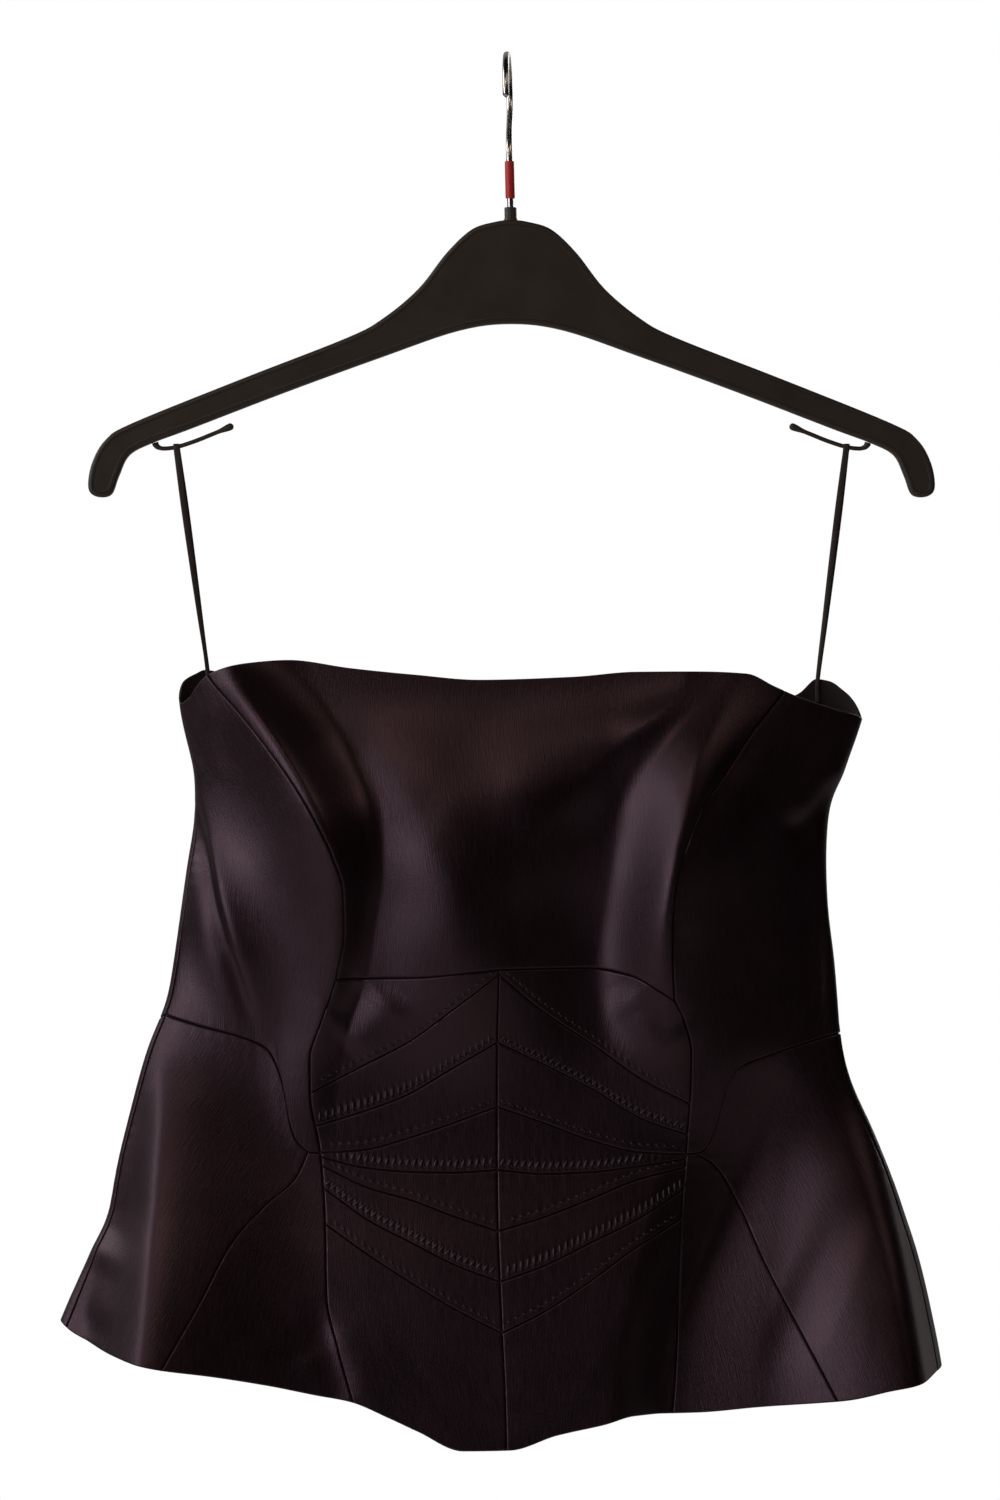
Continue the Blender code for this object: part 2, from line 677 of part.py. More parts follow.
def hanger_body():
    """The moulded arms: a plate with a raised rim, and a boss that holds the wire."""
    outline = closed_outline(hangerOutline, 2)
    work = bmesh.new()
    front = [work.verts.new((x * mm, -hangerThick / 2 * mm, z * mm)) for x, z in outline]
    face = work.faces.new(front)
    swept = bmesh.ops.extrude_face_region(work, geom=[face])
    for made in swept["geom"]:
        if isinstance(made, bmesh.types.BMVert):
            made.co.y = hangerThick / 2 * mm
    bmesh.ops.recalc_face_normals(work, faces=work.faces)
    plates = [f for f in work.faces if len(f.verts) > 4]
    for plate in plates:
        bmesh.ops.inset_region(work, faces=[plate], thickness=rimWidth * mm, use_even_offset=True)
        side = -1 if plate.normal.y < 0 else 1
        for vert in plate.verts:
            vert.co.y -= side * rimDepth * mm
    mesh = bpy.data.meshes.new("hanger_body")
    work.to_mesh(mesh)
    work.free()
    mesh.materials.append(plastic())
    body = bpy.data.objects.new("hanger_body", mesh)
    bpy.context.collection.objects.link(body)
    body.location.x = hangerOffset * mm
    rounded = body.modifiers.new("rounded", "BEVEL")
    rounded.width = hangerEdge * mm
    rounded.segments = 2
    rounded.limit_method = "ANGLE"
    rounded.angle_limit = math.radians(50)
    boss = cylinder("boss", bossRadius, bossTop, -90)
    socket = cylinder("socket", wireRadius + 0.3, bossTop + 1, bossTop - socketDepth)
    for part, action in ((boss, "UNION"), (socket, "DIFFERENCE")):
        part.location.x = -hookLean * (bossTop - socketDepth / 2) * mm
        part.hide_render = True
        part.display_type = "WIRE"
        cut = body.modifiers.new(part.name, "BOOLEAN")
        cut.operation = action
        cut.object = part


def tube(name, points, radius, look, swell=None):
    """A round bar along a line of points in millimetres, with closed ends."""
    curve = bpy.data.curves.new(name, "CURVE")
    curve.dimensions = "3D"
    curve.bevel_depth = radius * mm
    curve.bevel_resolution = 2
    curve.use_fill_caps = True
    line = curve.splines.new("POLY")
    line.points.add(len(points) - 1)
    for i, (point, place) in enumerate(zip(line.points, points)):
        point.co = (*(np.asarray(place) * mm), 1)
        point.radius = 1.0 if swell is None else swell[i]
    line.use_smooth = True
    curve.materials.append(look)
    made = bpy.data.objects.new(name, curve)
    bpy.context.collection.objects.link(made)
    return made


def catmull(points, between):
    """A smooth line through every point."""
    points = np.array(points, float)
    padded = np.concatenate([[2 * points[0] - points[1]], points, [2 * points[-1] - points[-2]]])
    lines = []
    for a, b, c, d in zip(padded, padded[1:], padded[2:], padded[3:]):
        t = np.linspace(0, 1, between, endpoint=False)[:, None]
        lines.append(0.5 * (2 * b + (c - a) * t + (2 * a - 5 * b + 4 * c - d) * t ** 2
                            + (3 * b - a - 3 * c + d) * t ** 3))
    return np.concatenate(lines + [points[-1:]])


# One strap finger, from under the arm, past its lowest point, to its tip
fingerRoute = [(181.4, -195.8), (181.0, -196.9), (179.6, -198.2), (176.5, -198.8), (170, -197.9),
               (161, -195.0), (153, -191.8), (145, -188.5), (141.5, -187.0)]


def fingers():
    for side, sign in (("left", -1), ("right", 1)):
        line = [(hangerOffset + sign * x, 0, z) for x, z in catmull(fingerRoute, 3)]
        ball = fingerTip / fingerRadius
        swell = [1.0] * (len(line) - 4) + [1.25, ball, ball, 0.6 * ball]
        tube(f"strap_finger_{side}", line, fingerRadius, plastic(), swell)


def hook():
    """The wire: straight stem, a bend out to the back of the bight, round it, to the tip."""
    centre = wireRadius - bightRadius
    stem = [(0, bossTop - socketDepth + 1.5), (0, bossTop), (0, -58)]
    bend = [(0, -50), (1.5, -44), (6.5, -37.5), (13.5, -31.5), (18.3, -25.5)]
    angles = np.radians(np.linspace(0, 190, 17))
    bight = [(bightRadius * math.cos(a), centre + bightRadius * math.sin(a)) for a in angles]
    line = catmull(stem + bend, 3)
    profile = [tuple(p) for p in line] + bight
    points = [(-hookLean * z + y * math.sin(hookTurn), y * math.cos(hookTurn), z)
              for y, z in profile]
    look = material("chrome", (0.62, 0.62, 0.63), 0.18, metallic=1.0)
    tube("hook_wire", points, wireRadius, look)


def sleeve():
    """The red plastic tube on the stem, where it is straight."""
    inner, outer, top, low, sides = wireRadius + 0.3, 2.7, -52.5, -71.5, 16
    angle = np.arange(sides) * 2 * math.pi / sides
    rings = []
    for radius, height in ((outer, top), (outer, low), (inner, low), (inner, top)):
        rings.append(np.stack([radius * np.cos(angle) - hookLean * height,
                               radius * np.sin(angle), height + 0 * angle], -1))
    points = np.concatenate(rings)
    faces = []
    for k in range(4):
        for i in range(sides):
            j, m = (i + 1) % sides, (k + 1) % 4
            faces.append((k * sides + i, k * sides + j, m * sides + j, m * sides + i))
    red = material("red_plastic", (0.30, 0.02, 0.02), 0.35)
    solid("hook_sleeve", points, faces, red, flat=False)


def ribbon(name, points, across):
    """A flat ribbon along a line, with its width along the given directions."""
    points, across = np.array(points, float), np.array(across, float)
    along = np.gradient(points, axis=0)
    along /= np.linalg.norm(along, axis=1, keepdims=True)
    across -= (across * along).sum(1, keepdims=True) * along
    across /= np.linalg.norm(across, axis=1, keepdims=True)
    face = np.cross(along, across)
    w, t = ribbonWide / 2, ribbonThick / 2
    corners = [points + a * across * w + b * face * t for a, b in ((-1, -1), (1, -1), (1, 1), (-1, 1))]
    ring = np.stack(corners, 1).reshape(-1, 3)
    faces = [(0, 1, 2, 3)]
    for r in range(len(points) - 1):
        for k in range(4):
            a, b = 4 * r + k, 4 * r + (k + 1) % 4
            faces.append((a, b, b + 4, a + 4))
    last = 4 * (len(points) - 1)
    faces.append((last + 3, last + 2, last + 1, last))
    look = material("ribbon_satin", (0.018, 0.013, 0.015), 0.5)
    solid(name, ring, faces, look, flat=False)


loopDrop = 11.0
loopClear = 0.7
strandSpread = 0.5


def loops():
    """A hanging loop at each side seam: up one strand, over its finger, down the other."""
    for side, table, right in (("left", sideLeft, False), ("right", sideRight, True)):
        sign = 1 if right else -1
        seam = lambda z: side_turn(table, z, right)
        top = meet(seam, rim, -320)
        turn = float(seam(top))
        normal = outward(np.array(turn), np.array(top))
        edge = surface(np.array(turn), np.array(top))
        tangent = np.cross(normal, (0, 0, 1))
        inside = clothThick / 2 + loopClear + ribbonThick / 2
        fingerTop = np.array([hangerOffset + sign * 170.5, 0, -198.0])
        over = fingerRadius + loopClear + ribbonThick / 2
        strands = []
        for strand, depth in ((-1, inside + ribbonThick + loopClear / 2), (1, inside)):
            foot = edge - normal * depth
            low = foot - np.array([0, 0, loopDrop])
            high = fingerTop + np.array([0, strand * over, 0])
            middle = (foot + high) / 2 + np.array([strand * strandSpread, 0, 0])
            upper = (foot + 3 * high) / 4 + np.array([strand * strandSpread, 0, 0])
            lower = (3 * foot + high) / 4 + np.array([strand * strandSpread * 0.6, 0, 0])
            strands.append(catmull([low, foot, lower, middle, upper, high], 4))
        arc = [fingerTop + over * np.array([0, -math.cos(a), math.sin(a)])
               for a in np.radians(np.linspace(0, 180, 9))[1:-1]]
        points = np.concatenate([strands[0], arc, strands[1][::-1]])
        level = np.clip((points[:, 2] - top) / (fingerTop[2] - top), 0, 1)[:, None]
        width = (1 - level) * tangent * (-1 if tangent[0] < 0 else 1) + level * np.array([1, 0, 0])
        ribbon(f"loop_{side}", points, width)


def clear():
    for made in list(bpy.data.objects):
        bpy.data.objects.remove(made, do_unlink=True)


def main():
    clear()
    hanger_body()
    fingers()
    hook()
    sleeve()
    loops()
    cloth()


main()
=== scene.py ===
# A dark satin corset top on its hanger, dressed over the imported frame: fine cloth with its
# seams and creases, the fan's fancy stitches, the hanging loops, the hanger and a studio.
# Lengths are in millimetres until a mesh is made. +Z is up and the front faces -Y.
import math
import bpy
import numpy as np
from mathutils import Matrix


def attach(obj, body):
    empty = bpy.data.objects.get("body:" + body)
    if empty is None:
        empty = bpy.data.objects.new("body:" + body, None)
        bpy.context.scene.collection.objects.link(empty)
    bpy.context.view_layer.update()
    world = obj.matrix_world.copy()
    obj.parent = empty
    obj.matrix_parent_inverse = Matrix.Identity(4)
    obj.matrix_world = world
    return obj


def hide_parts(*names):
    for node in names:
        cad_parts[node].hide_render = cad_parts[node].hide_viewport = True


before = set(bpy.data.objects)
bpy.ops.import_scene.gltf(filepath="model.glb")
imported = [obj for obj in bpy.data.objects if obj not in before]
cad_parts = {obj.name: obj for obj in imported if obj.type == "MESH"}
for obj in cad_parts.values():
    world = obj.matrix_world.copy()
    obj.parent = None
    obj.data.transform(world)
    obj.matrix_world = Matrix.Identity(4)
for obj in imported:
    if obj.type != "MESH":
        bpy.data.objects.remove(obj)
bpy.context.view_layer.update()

mm = 0.001

cameraSet = {"distance": 4.0, "metresPerPixel": 0.000509, "imageTall": 1500, "sensor": 24.0,
             "across": -0.003563, "height": -0.352228}
studioSet = {"floorHeight": -0.95, "floorRadius": 1.3, "floorColour": (0.82, 0.82, 0.81),
             "floorRings": (0.02, 0.4, 0.8, 1.0), "floorSides": 96, "floorDim": 0.96, "floorRough": 0.7,
             "backdrop": (1.0, 1.0, 1.0), "ambient": (0.002, 0.0018, 0.002), "wall": (0.22, 0.21, 0.205),
             "wallFrom": 0.30, "wallTo": 0.75}
# Each lamp: its name, its place, where it aims, its size, its power in watts and its colour
lamps = [
    ("leftWindow", (-2.25, -1.72, -0.12), (0, 0, -0.42), (1.8, 1.5), 18.5, (0.95, 0.93, 1.0)),
    ("farLeft", (-2.2, 0.15, 0.85), (0, 0, -0.50), (1.4, 1.2), 15, (1.0, 0.97, 0.98)),
    ("warmAbove", (-0.85, -2.15, 1.15), (0, 0, -0.33), (1.3, 0.4), 4.8, (1.0, 0.78, 0.62)),
    ("behind", (1.5, 2.5, 0.6), (0, 0, -0.45), (1.3, 1.2), 11, (1.0, 0.94, 0.92)),
    ("rightHigh", (1.75, -1.15, 1.25), (0, 0, -0.5), (1.3, 0.7), 3.6, (1.0, 0.80, 0.64)),
]


def addCamera():
    # Level, square on, with the lens that gives the photograph's scale in the hanger's plane
    s = cameraSet
    made = bpy.data.cameras.new("camera")
    made.sensor_fit = "VERTICAL"
    made.sensor_height = s["sensor"]
    made.lens = s["sensor"] * s["distance"] / (s["imageTall"] * s["metresPerPixel"])
    placed = bpy.data.objects.new("camera", made)
    bpy.context.collection.objects.link(placed)
    placed.location = (s["across"], -s["distance"], s["height"])
    placed.rotation_euler = (math.radians(90), 0, 0)
    bpy.context.scene.camera = placed
    print("camera set", round(made.lens, 1), "mm")


addCamera()

clothSet = {
    "solidThick": 1.6, "shellThick": 1.3, "deepest": 0.8,
    "tableSpread": 7, "tableStep": 0.5, "foldFade": 0.42, "crestEase": 0.10, "creaseEnds": 0.3,
    "frontCell": 1.7, "bandCell": 1.0, "backCell": 2.6,
    "edgeSteps": (0, 0.2, 0.45, 0.8, 1.3, 2.0, 3.0), "edgeTurns": (45, 90, 135),
    "grooveDeep": 1.0, "grooveReach": 0.42,
    "puckerRise": 0.07, "puckerReach": 5.0, "puckerStep": 7.3, "puckerTurn": 6.283,
    "puckerDrift": 11.0, "puckerSway": 1.7, "puckerPatch": 23.0, "patchShift": 1.1,
    "patchMean": 0.55, "patchShare": 0.45,
}
# Rows of stitches above the fan's seams, by the band that each lies on
fanRows = {1: "picot", 2: "bars", 3: "picot", 4: "bars", 5: "picot", 6: "bars", 7: "picot"}
# What both kinds share: the grid of one stitch, how far it is sunk, the room it needs, and
# how the cloth is drawn in beside a row
stitchSet = {"around": 8, "over": 4, "sink": 0.12, "endRoom": 1.5, "edgeRoom": 0.4,
             "narrow": 1.6, "runOut": 6, "drawn": 0.5}
stitchKinds = {
    "picot": {"above": 4.0, "spacing": 4.3, "start": 7.0, "long": 1.9, "wide": 1.1, "high": 0.75,
              "lean": -55, "tall": 2.0, "dip": 0.10,
              "parts": [{"shift": 0.0, "lift": 0.0, "lean": 1.0, "size": 1.0},
                        {"shift": 1.5, "lift": -0.7, "lean": 1.0, "size": 0.6}]},
    "bars": {"above": 4.3, "spacing": 3.5, "start": 3.0, "long": 5.2, "wide": 1.35, "high": 0.85,
             "lean": 24, "tall": 5.0, "dip": 0.22,
             "parts": [{"shift": 0.0, "lift": 0.0, "lean": 1.0, "size": 1.0},
                       {"shift": 1.5, "lift": -1.7, "lean": -1.6, "size": 0.45}]},
}

# Creases, listed one by one. Each row: how far it rises, its reach to the left and to the right of
# a line that runs down (or below and above one that runs to the right), and the line itself.
frontCreases = [
    (-3.6, 5.5, 3.5, [(-161, -366), (-154, -405), (-149, -430), (-143.5, -450), (-136, -470),
                      (-125, -500)]),
    (1.0, 6, 10, [(-153, -322), (-152, -345), (-148, -374)]),
    (-1.2, 13, 16, [(-92, -345), (-70, -364), (-52, -380), (-36, -400)]),
    (-1.8, 4, 8, [(133, -332), (108, -368), (91, -402), (86, -440), (87, -486)]),
    (2.0, 12, 14, [(-84, -503), (-72, -494), (-62, -482), (-56, -472)]),
    (-1.1, 13, 12, [(-90, -490), (-80, -481), (-68, -470)]),
    (1.4, 10, 9, [(56, -470), (64, -484), (76, -500), (84, -512)]),
    (-1.1, 12, 11, [(70, -472), (78, -484), (87, -499)]),
    (1.5, 10, 6, [(173, -352), (158, -372), (140, -392)]),
    (-1.3, 6, 9, [(170, -364), (154, -384), (138, -402)]),
    (-1.4, 8, 10, [(-205, -606), (-214, -628), (-218, -652)]),
    (1.2, 8, 8, [(-196, -596), (-204, -620), (-208, -650)]),
    (-1.5, 9, 7, [(-100, -628), (-92, -652), (-80, -684)]),
    (0.8, 12, 12, [(-90, -640), (-78, -662), (-66, -690)]),
    (0.7, 8, 9, [(-104, -655), (-96, -668), (-86, -680)]),
]
backCreases = [
    (-1.8, 12, 10, [(-120, -350), (-96, -386), (-70, -420)]),
    (1.6, 10, 12, [(118, -352), (98, -390), (84, -430)]),
    (1.4, 9, 7, [(-30, -372), (-34, -420), (-26, -470)]),
    (-1.5, 8, 10, [(44, -400), (38, -446), (46, -490)]),
    (-1.6, 9, 9, [(-150, -470), (-128, -492), (-104, -504)]),
    (1.5, 8, 9, [(146, -462), (124, -486), (98, -500)]),
    (1.6, 11, 9, [(-64, -540), (-72, -590), (-70, -640)]),
    (-1.8, 10, 12, [(62, -536), (70, -586), (66, -642)]),
    (1.3, 8, 8, [(20, -560), (26, -600), (22, -640)]),
    (-1.3, 9, 8, [(150, -560), (168, -604), (176, -650)]),
    (1.4, 9, 10, [(-152, -556), (-172, -602), (-184, -640)]),
]

# Sections across the garment, top to bottom: height of the section, its left and right
# edge, and how far the cloth stands forward and back of the hanger's plane.
sectionNames = ("height", "left", "right", "front", "back")
sections = [
    (-300, -168.2, 188.0, 19, 24), (-327, -167.4, 183.7, 23, 25), (-347, -163.4, 177.6, 28, 26),
    (-367, -158.8, 170.0, 33, 26), (-382, -159.6, 164.4, 35, 26), (-406, -162.4, 162.6, 35, 25),
    (-431, -165.8, 163.4, 32, 24), (-458, -169.6, 166.7, 28, 23), (-480, -173.3, 168.5, 25, 22),
    (-501, -182.2, 170.3, 23, 21), (-521, -188.1, 175.1, 22, 21), (-541, -193.2, 184.5, 22, 21),
    (-558, -197.5, 191.6, 23, 22), (-577, -201.1, 199.0, 26, 25), (-589, -202.8, 202.8, 28, 27),
    (-603, -210.0, 207.7, 31, 30), (-621, -218.6, 212.5, 34, 34), (-642, -227.5, 217.1, 37, 37),
    (-663, -234.6, 221.2, 39, 40), (-715, -249.0, 228.0, 43, 44),
]

# The largest folds. Each has the shape of its crest, from 0.5 for a sharp one to 2 for a
# round one, and rows of height, where it lies across, how far it rises, and how far it runs
# out to the left and to the right of its line. A hollow is a fold that rises less than 0.
foldNames = ("height", "across", "rise", "leftReach", "rightReach")
frontFolds = {
    "leftCupCrest": (0.6, [
        (-305, -143, 12, 36, 40), (-322, -134.5, 21, 42, 42), (-350, -115.5, 27, 50, 40),
        (-383, -96.5, 27, 60, 34), (-402, -89, 24, 62, 28), (-421, -85, 20, 58, 23),
        (-443, -85, 16, 50, 19), (-466, -87, 12, 42, 17), (-489, -92.5, 8, 36, 15),
        (-519, -98, 4, 30, 13), (-560, -98, 0, 26, 12),
    ]),
    "leftCupLip": (0.9, [
        (-372, -155, 0, 26, 38), (-398, -152, 3, 28, 46), (-416, -149, 7, 27, 48),
        (-434, -145, 9, 27, 49), (-450, -140, 9, 28, 48), (-464, -135, 7, 31, 44),
        (-479, -129, 4, 34, 38), (-500, -122, 0, 36, 32),
    ]),
    "rightCupCrest": (0.5, [
        (-305, 118, 2, 66, 56), (-334, 107, 9, 60, 56), (-352, 98, 14, 48, 57),
        (-374, 93, 17, 40, 58), (-393, 89.5, 19, 36, 58), (-412, 86, 20.5, 35, 55),
        (-437, 82, 20, 35, 50), (-455, 80.5, 17.5, 36, 49), (-472, 81, 14.5, 38, 50),
        (-490, 85, 11, 40, 50), (-515, 88, 6, 50, 50), (-560, 90, 0, 54, 50),
    ]),
    "rightCupLip": (1.8, [
        (-372, 162, 0, 36, 14), (-392, 162, -2, 40, 12), (-418, 160, -4, 42, 11),
        (-437, 158.5, -5, 43, 10), (-458, 158, -5, 45, 10), (-490, 158, -3, 48, 10),
        (-520, 160, 0, 48, 12),
    ]),
    "centreKeel": (1.4, [
        (-322, 90, 2, 90, 16), (-345, 60, 6, 84, 26), (-366, 37, 6, 72, 34), (-390, 14, 5, 62, 40),
        (-430, -4, 5, 54, 48), (-458, -8, 6, 54, 54), (-505, -12, 3, 70, 66),
        (-550, -8, 0, 74, 70),
    ]),
    "leftPanelFold": (1.6, [
        (-325, -62, 0, 34, 60), (-360, -50, 3, 32, 52), (-400, -36, 7, 36, 40),
        (-440, -28, 9, 48, 34), (-470, -28, 7, 58, 40), (-530, -32, 0, 66, 46),
    ]),
    "rightPanelHollow": (1.8, [
        (-330, 50, 0, 50, 46), (-365, 48, -4, 50, 44), (-400, 43, -7, 50, 42),
        (-440, 40, -8, 48, 38), (-470, 42, -6, 42, 32), (-520, 46, 0, 40, 30),
    ]),
    "leftPeplumCrest": (0.8, [
        (-500, -175, 0, 16, 44), (-530, -175, 6, 18, 58), (-560, -176, 12, 22, 72),
        (-590, -178, 18, 26, 82), (-640, -182, 26, 34, 92), (-690, -188, 33, 42, 102),
    ]),
    "rightPeplumHollow": (0.9, [
        (-496, 138, 0, 34, 20), (-530, 131, -8, 44, 42), (-560, 121, -14, 44, 58),
        (-590, 110, -19, 40, 72), (-620, 97, -22, 34, 86), (-671, 81, -23, 28, 102),
        (-710, 76, -22, 26, 108),
    ]),
    "rightPeplumWave": (0.6, [
        (-530, 180, 0, 36, 9), (-560, 188, 6, 48, 10), (-600, 198, 14, 62, 13),
        (-640, 205, 23, 74, 17), (-700, 214, 31, 84, 21),
    ]),
    "rightPeplumCrease": (2, [
        (-570, 175, 0, 14, 14), (-594, 169, -0.9, 18, 18), (-620, 158, -1.3, 18, 20),
        (-647, 146, -1.2, 18, 20), (-672, 138, 0, 16, 18),
    ]),
    "frontPoint": (2, [
        (-590, -4, 0, 70, 70), (-650, -3, -1, 74, 74), (-710, -2, -1.5, 80, 80),
    ]),
}
backFolds = {
    "leftBackHollow": (2.0, [
        (-320, -70, 0, 50, 50), (-400, -74, -4, 52, 52), (-500, -80, -3, 50, 50),
        (-560, -84, 0, 46, 46),
    ]),
    "rightBackHollow": (2.0, [
        (-320, 84, 0, 50, 50), (-410, 80, -5, 52, 52), (-500, 84, -2, 50, 50),
        (-560, 86, 0, 46, 46),
    ]),
    "leftBackWave": (2.0, [
        (-560, -92, 0, 40, 40), (-620, -100, 6, 44, 44), (-700, -110, 10, 50, 50),
    ]),
    "rightBackWave": (2.0, [
        (-560, 96, 0, 40, 40), (-620, 102, 7, 44, 44), (-700, 112, 10, 50, 50),
    ]),
}

# Top edge and hem, by how far across and how high. The front runs left to right.
frontRim = [
    (-165.4, -328.8), (-160.8, -325.8), (-157.3, -320.7), (-151.4, -314.6), (-130, -308.6),
    (-110, -307.1), (-78, -311.4), (-46, -314.7), (-14, -317.3), (33, -315.8), (65, -313.2),
    (97, -313.0), (121, -314.0), (135, -320.3), (148, -325.9), (170, -332.9), (180.5, -336.4),
]
backRim = [
    (172, -322.7), (164.4, -317.6), (157.8, -316.6), (149, -324), (100, -338), (0, -345),
    (-75, -333), (-130, -318), (-154.2, -312), (-159, -314), (-164.6, -317.6),
]
frontHem = [
    (-227, -642.3), (-215, -650.0), (-200, -657.0), (-178, -662.7), (-149, -666.9),
    (-120, -672.1), (-97, -677.0), (-79, -680.4), (-60, -688.3), (-45, -695.2), (-22, -705),
    (1.5, -704.6), (25, -697.2), (48, -692.1), (64, -688.2), (80, -688.0), (97, -687.4),
    (126, -684.4), (156, -681.7), (171, -680.0), (193, -674.8), (209, -671.4), (218, -667.0),
]
backHem = [(190, -660), (100, -654), (0, -652), (-100, -648), (-195, -643)]

# Seams down the front: height and place across
princessLeft = [
    (-300, -158), (-314.6, -151), (-332.5, -135.6), (-351.2, -120.7), (-371, -106.4),
    (-389, -95.8), (-406, -87.7), (-423, -82.7), (-443, -82.2), (-461, -85), (-470, -87),
    (-491, -94.5), (-509, -99.8), (-529, -99.5), (-545, -96.5), (-557, -94.5), (-589, -92),
    (-629, -91), (-654, -85.5), (-680, -78), (-700, -72),
]
princessRight = [
    (-310, 149), (-323, 140), (-342.6, 124.7), (-369.4, 107.3), (-381.4, 98.7), (-396, 92.7),
    (-409, 88.1), (-430, 84.4), (-454, 83.7), (-477, 84.5), (-489, 89.5), (-506, 93.2),
    (-523, 93), (-543, 91.6), (-559, 90.6), (-589, 88.2), (-628, 87), (-667, 85.4), (-700, 82.6),
]
centreFront = [
    (-440, -3.6), (-463, -4.1), (-500, -5), (-529, -5.1), (-565, -5.1), (-595, -4.6),
    (-620, -3.6), (-645, -2.6), (-680, -1), (-720, 0),
]
# Side seams: height, and how far round from the garment's edge in degrees, to the front
sideLeft = [
    (-300, -24), (-320, -22), (-350, -13), (-381, 0), (-400, 7), (-440, 9), (-480, 9),
    (-520, 9), (-560, 8), (-600, 9), (-645, 11), (-700, 12),
]
sideRight = [
    (-300, -33), (-320, -31), (-360, -24), (-420, -14), (-470, -5), (-504, 4), (-530, 9),
    (-560, 8), (-600, 9), (-670, 9), (-700, 9),
]

# Waist seams and peplum diagonals, from the side inwards
waistLeft = [
    (-172.5, -486.9), (-155.6, -492.3), (-134.9, -497.7), (-121.5, -503.8), (-116.3, -512.5),
    (-113, -523.3), (-109.4, -543.0), (-106.2, -550.8), (-100.8, -556.0),
]
waistRight = [
    (169.2, -496.2), (151, -501.2), (133, -507.2), (117.5, -513.6), (111.6, -522.4),
    (108.4, -534), (104.8, -546.5), (99.6, -555.6), (95.8, -557.0),
]
diagonalLeft = [
    (-100.8, -556.0), (-107, -569), (-121.8, -582.1), (-137.7, -599.2), (-155.3, -631.4),
    (-173.5, -663.4),
]
diagonalRight = [
    (95.8, -557.0), (104.5, -562.5), (118.4, -585.1), (129.5, -610.2), (147.1, -643.9),
    (166.6, -680.2),
]

# Fan of seams on the pointed front, a row for each. The columns are the seam's height at
# the princess seam, a quarter, half and three quarters of the way, and at the centre front.
fanLeft = [
    (-468.4, -467.6, -467.2, -465.3, -463.2),
    (-526.0, -513.7, -501.0, -482.7, -465.5),
    (-542.7, -536.0, -527.6, -514.0, -500.0),
    (-556.2, -554.6, -548.8, -541.3, -532.8),
    (-558.4, -563.7, -565.6, -566.0, -564.7),
    (-562.6, -573.5, -579.8, -588.0, -595.4),
    (-574.0, -590.0, -601.3, -612.4, -620.7),
    (-592.0, -607.5, -621.8, -635.2, -646.5),
]
fanRight = [
    (-479.0, -466.0, -462.6, -462.9, -463.2),
    (-531.6, -519.0, -501.8, -484.6, -465.5),
    (-547.2, -538.7, -524.4, -511.8, -500.0),
    (-557.2, -555.8, -550.0, -541.2, -532.8),
    (-559.4, -563.0, -565.8, -566.6, -564.7),
    (-563.6, -569.6, -579.4, -588.4, -595.4),
    (-575.0, -590.0, -601.4, -612.5, -620.7),
    (-589.6, -604.0, -620.6, -635.2, -646.5),
]


def column(rows, names, name):
    # One column of a table, by its name
    return np.array([row[names.index(name)] for row in rows], float)


def smooth(at, known, values, level=False):
    # Monotone cubic through a table: slopes are harmonic means, so nothing overshoots.
    # With level, the slope is 0 at both ends.
    known, values, at = np.asarray(known, float), np.asarray(values, float), np.asarray(at, float)
    if known[0] > known[-1]:
        known, values = known[::-1], values[::-1]
    step = np.diff(known)
    rate = np.diff(values) / step
    slope = np.empty_like(values)
    slope[0], slope[-1] = (0.0, 0.0) if level else (rate[0], rate[-1])
    same = rate[:-1] * rate[1:] > 0
    heavy, light = 2 * step[1:] + step[:-1], step[1:] + 2 * step[:-1]
    whole = np.where(same, rate[:-1], 1.0), np.where(same, rate[1:], 1.0)
    mean = (heavy + light) / (heavy / whole[0] + light / whole[1])
    slope[1:-1] = np.where(same, mean, 0.0)
    i = np.clip(np.searchsorted(known, at) - 1, 0, len(step) - 1)
    t = np.clip((at - known[i]) / step[i], 0.0, 1.0)
    return (
        values[i] * (1 + 2 * t) * (1 - t) ** 2
        + slope[i] * step[i] * t * (1 - t) ** 2
        + values[i + 1] * t * t * (3 - 2 * t)
        - slope[i + 1] * step[i] * t * t * (1 - t)
    )


def eased(share):
    # Smooth step: 3 t squared less 2 t cubed, from 0 to 1
    t = np.clip(share, 0, 1)
    return t * t * (3 - 2 * t)


softTables = {}


def softened(at, rows, names, name, level=False):
    # A column read by height and then evened out, as cloth has no sharp change of slope:
    # the cubic through the table, averaged under a bell of the given spread
    key = (id(rows), name)
    if key not in softTables:
        wide, step = clothSet["tableSpread"], clothSet["tableStep"]
        known = column(rows, names, "height")
        low, high = min(known), max(known)
        fine = np.arange(low - 3 * wide, high + 3 * wide, step)
        values = smooth(np.clip(fine, low, high), known, column(rows, names, name), level)
        bell = np.exp(-0.5 * (np.arange(-3 * wide, 3 * wide + step, step) / wide) ** 2)
        padded = np.pad(values, len(bell) // 2, mode="edge")
        softTables[key] = fine, np.convolve(padded, bell / bell.sum(), mode="valid")
    fine, values = softTables[key]
    return np.interp(at, fine, values)


def section(height, name):
    return softened(height, sections, sectionNames, name)


def spread(height):
    # Middle and half width of the garment at a height
    left, right = section(height, "left"), section(height, "right")
    return (left + right) / 2, (right - left) / 2 - clothSet["solidThick"] / 2


def turnOf(across, height, behind=False):
    # Angle round the ring: 0 at the left edge, a half turn at the right edge
    middle, half = spread(height)
    angle = np.arccos(np.clip(-(across - middle) / half, -1, 1))
    return 2 * math.pi - angle if behind else angle


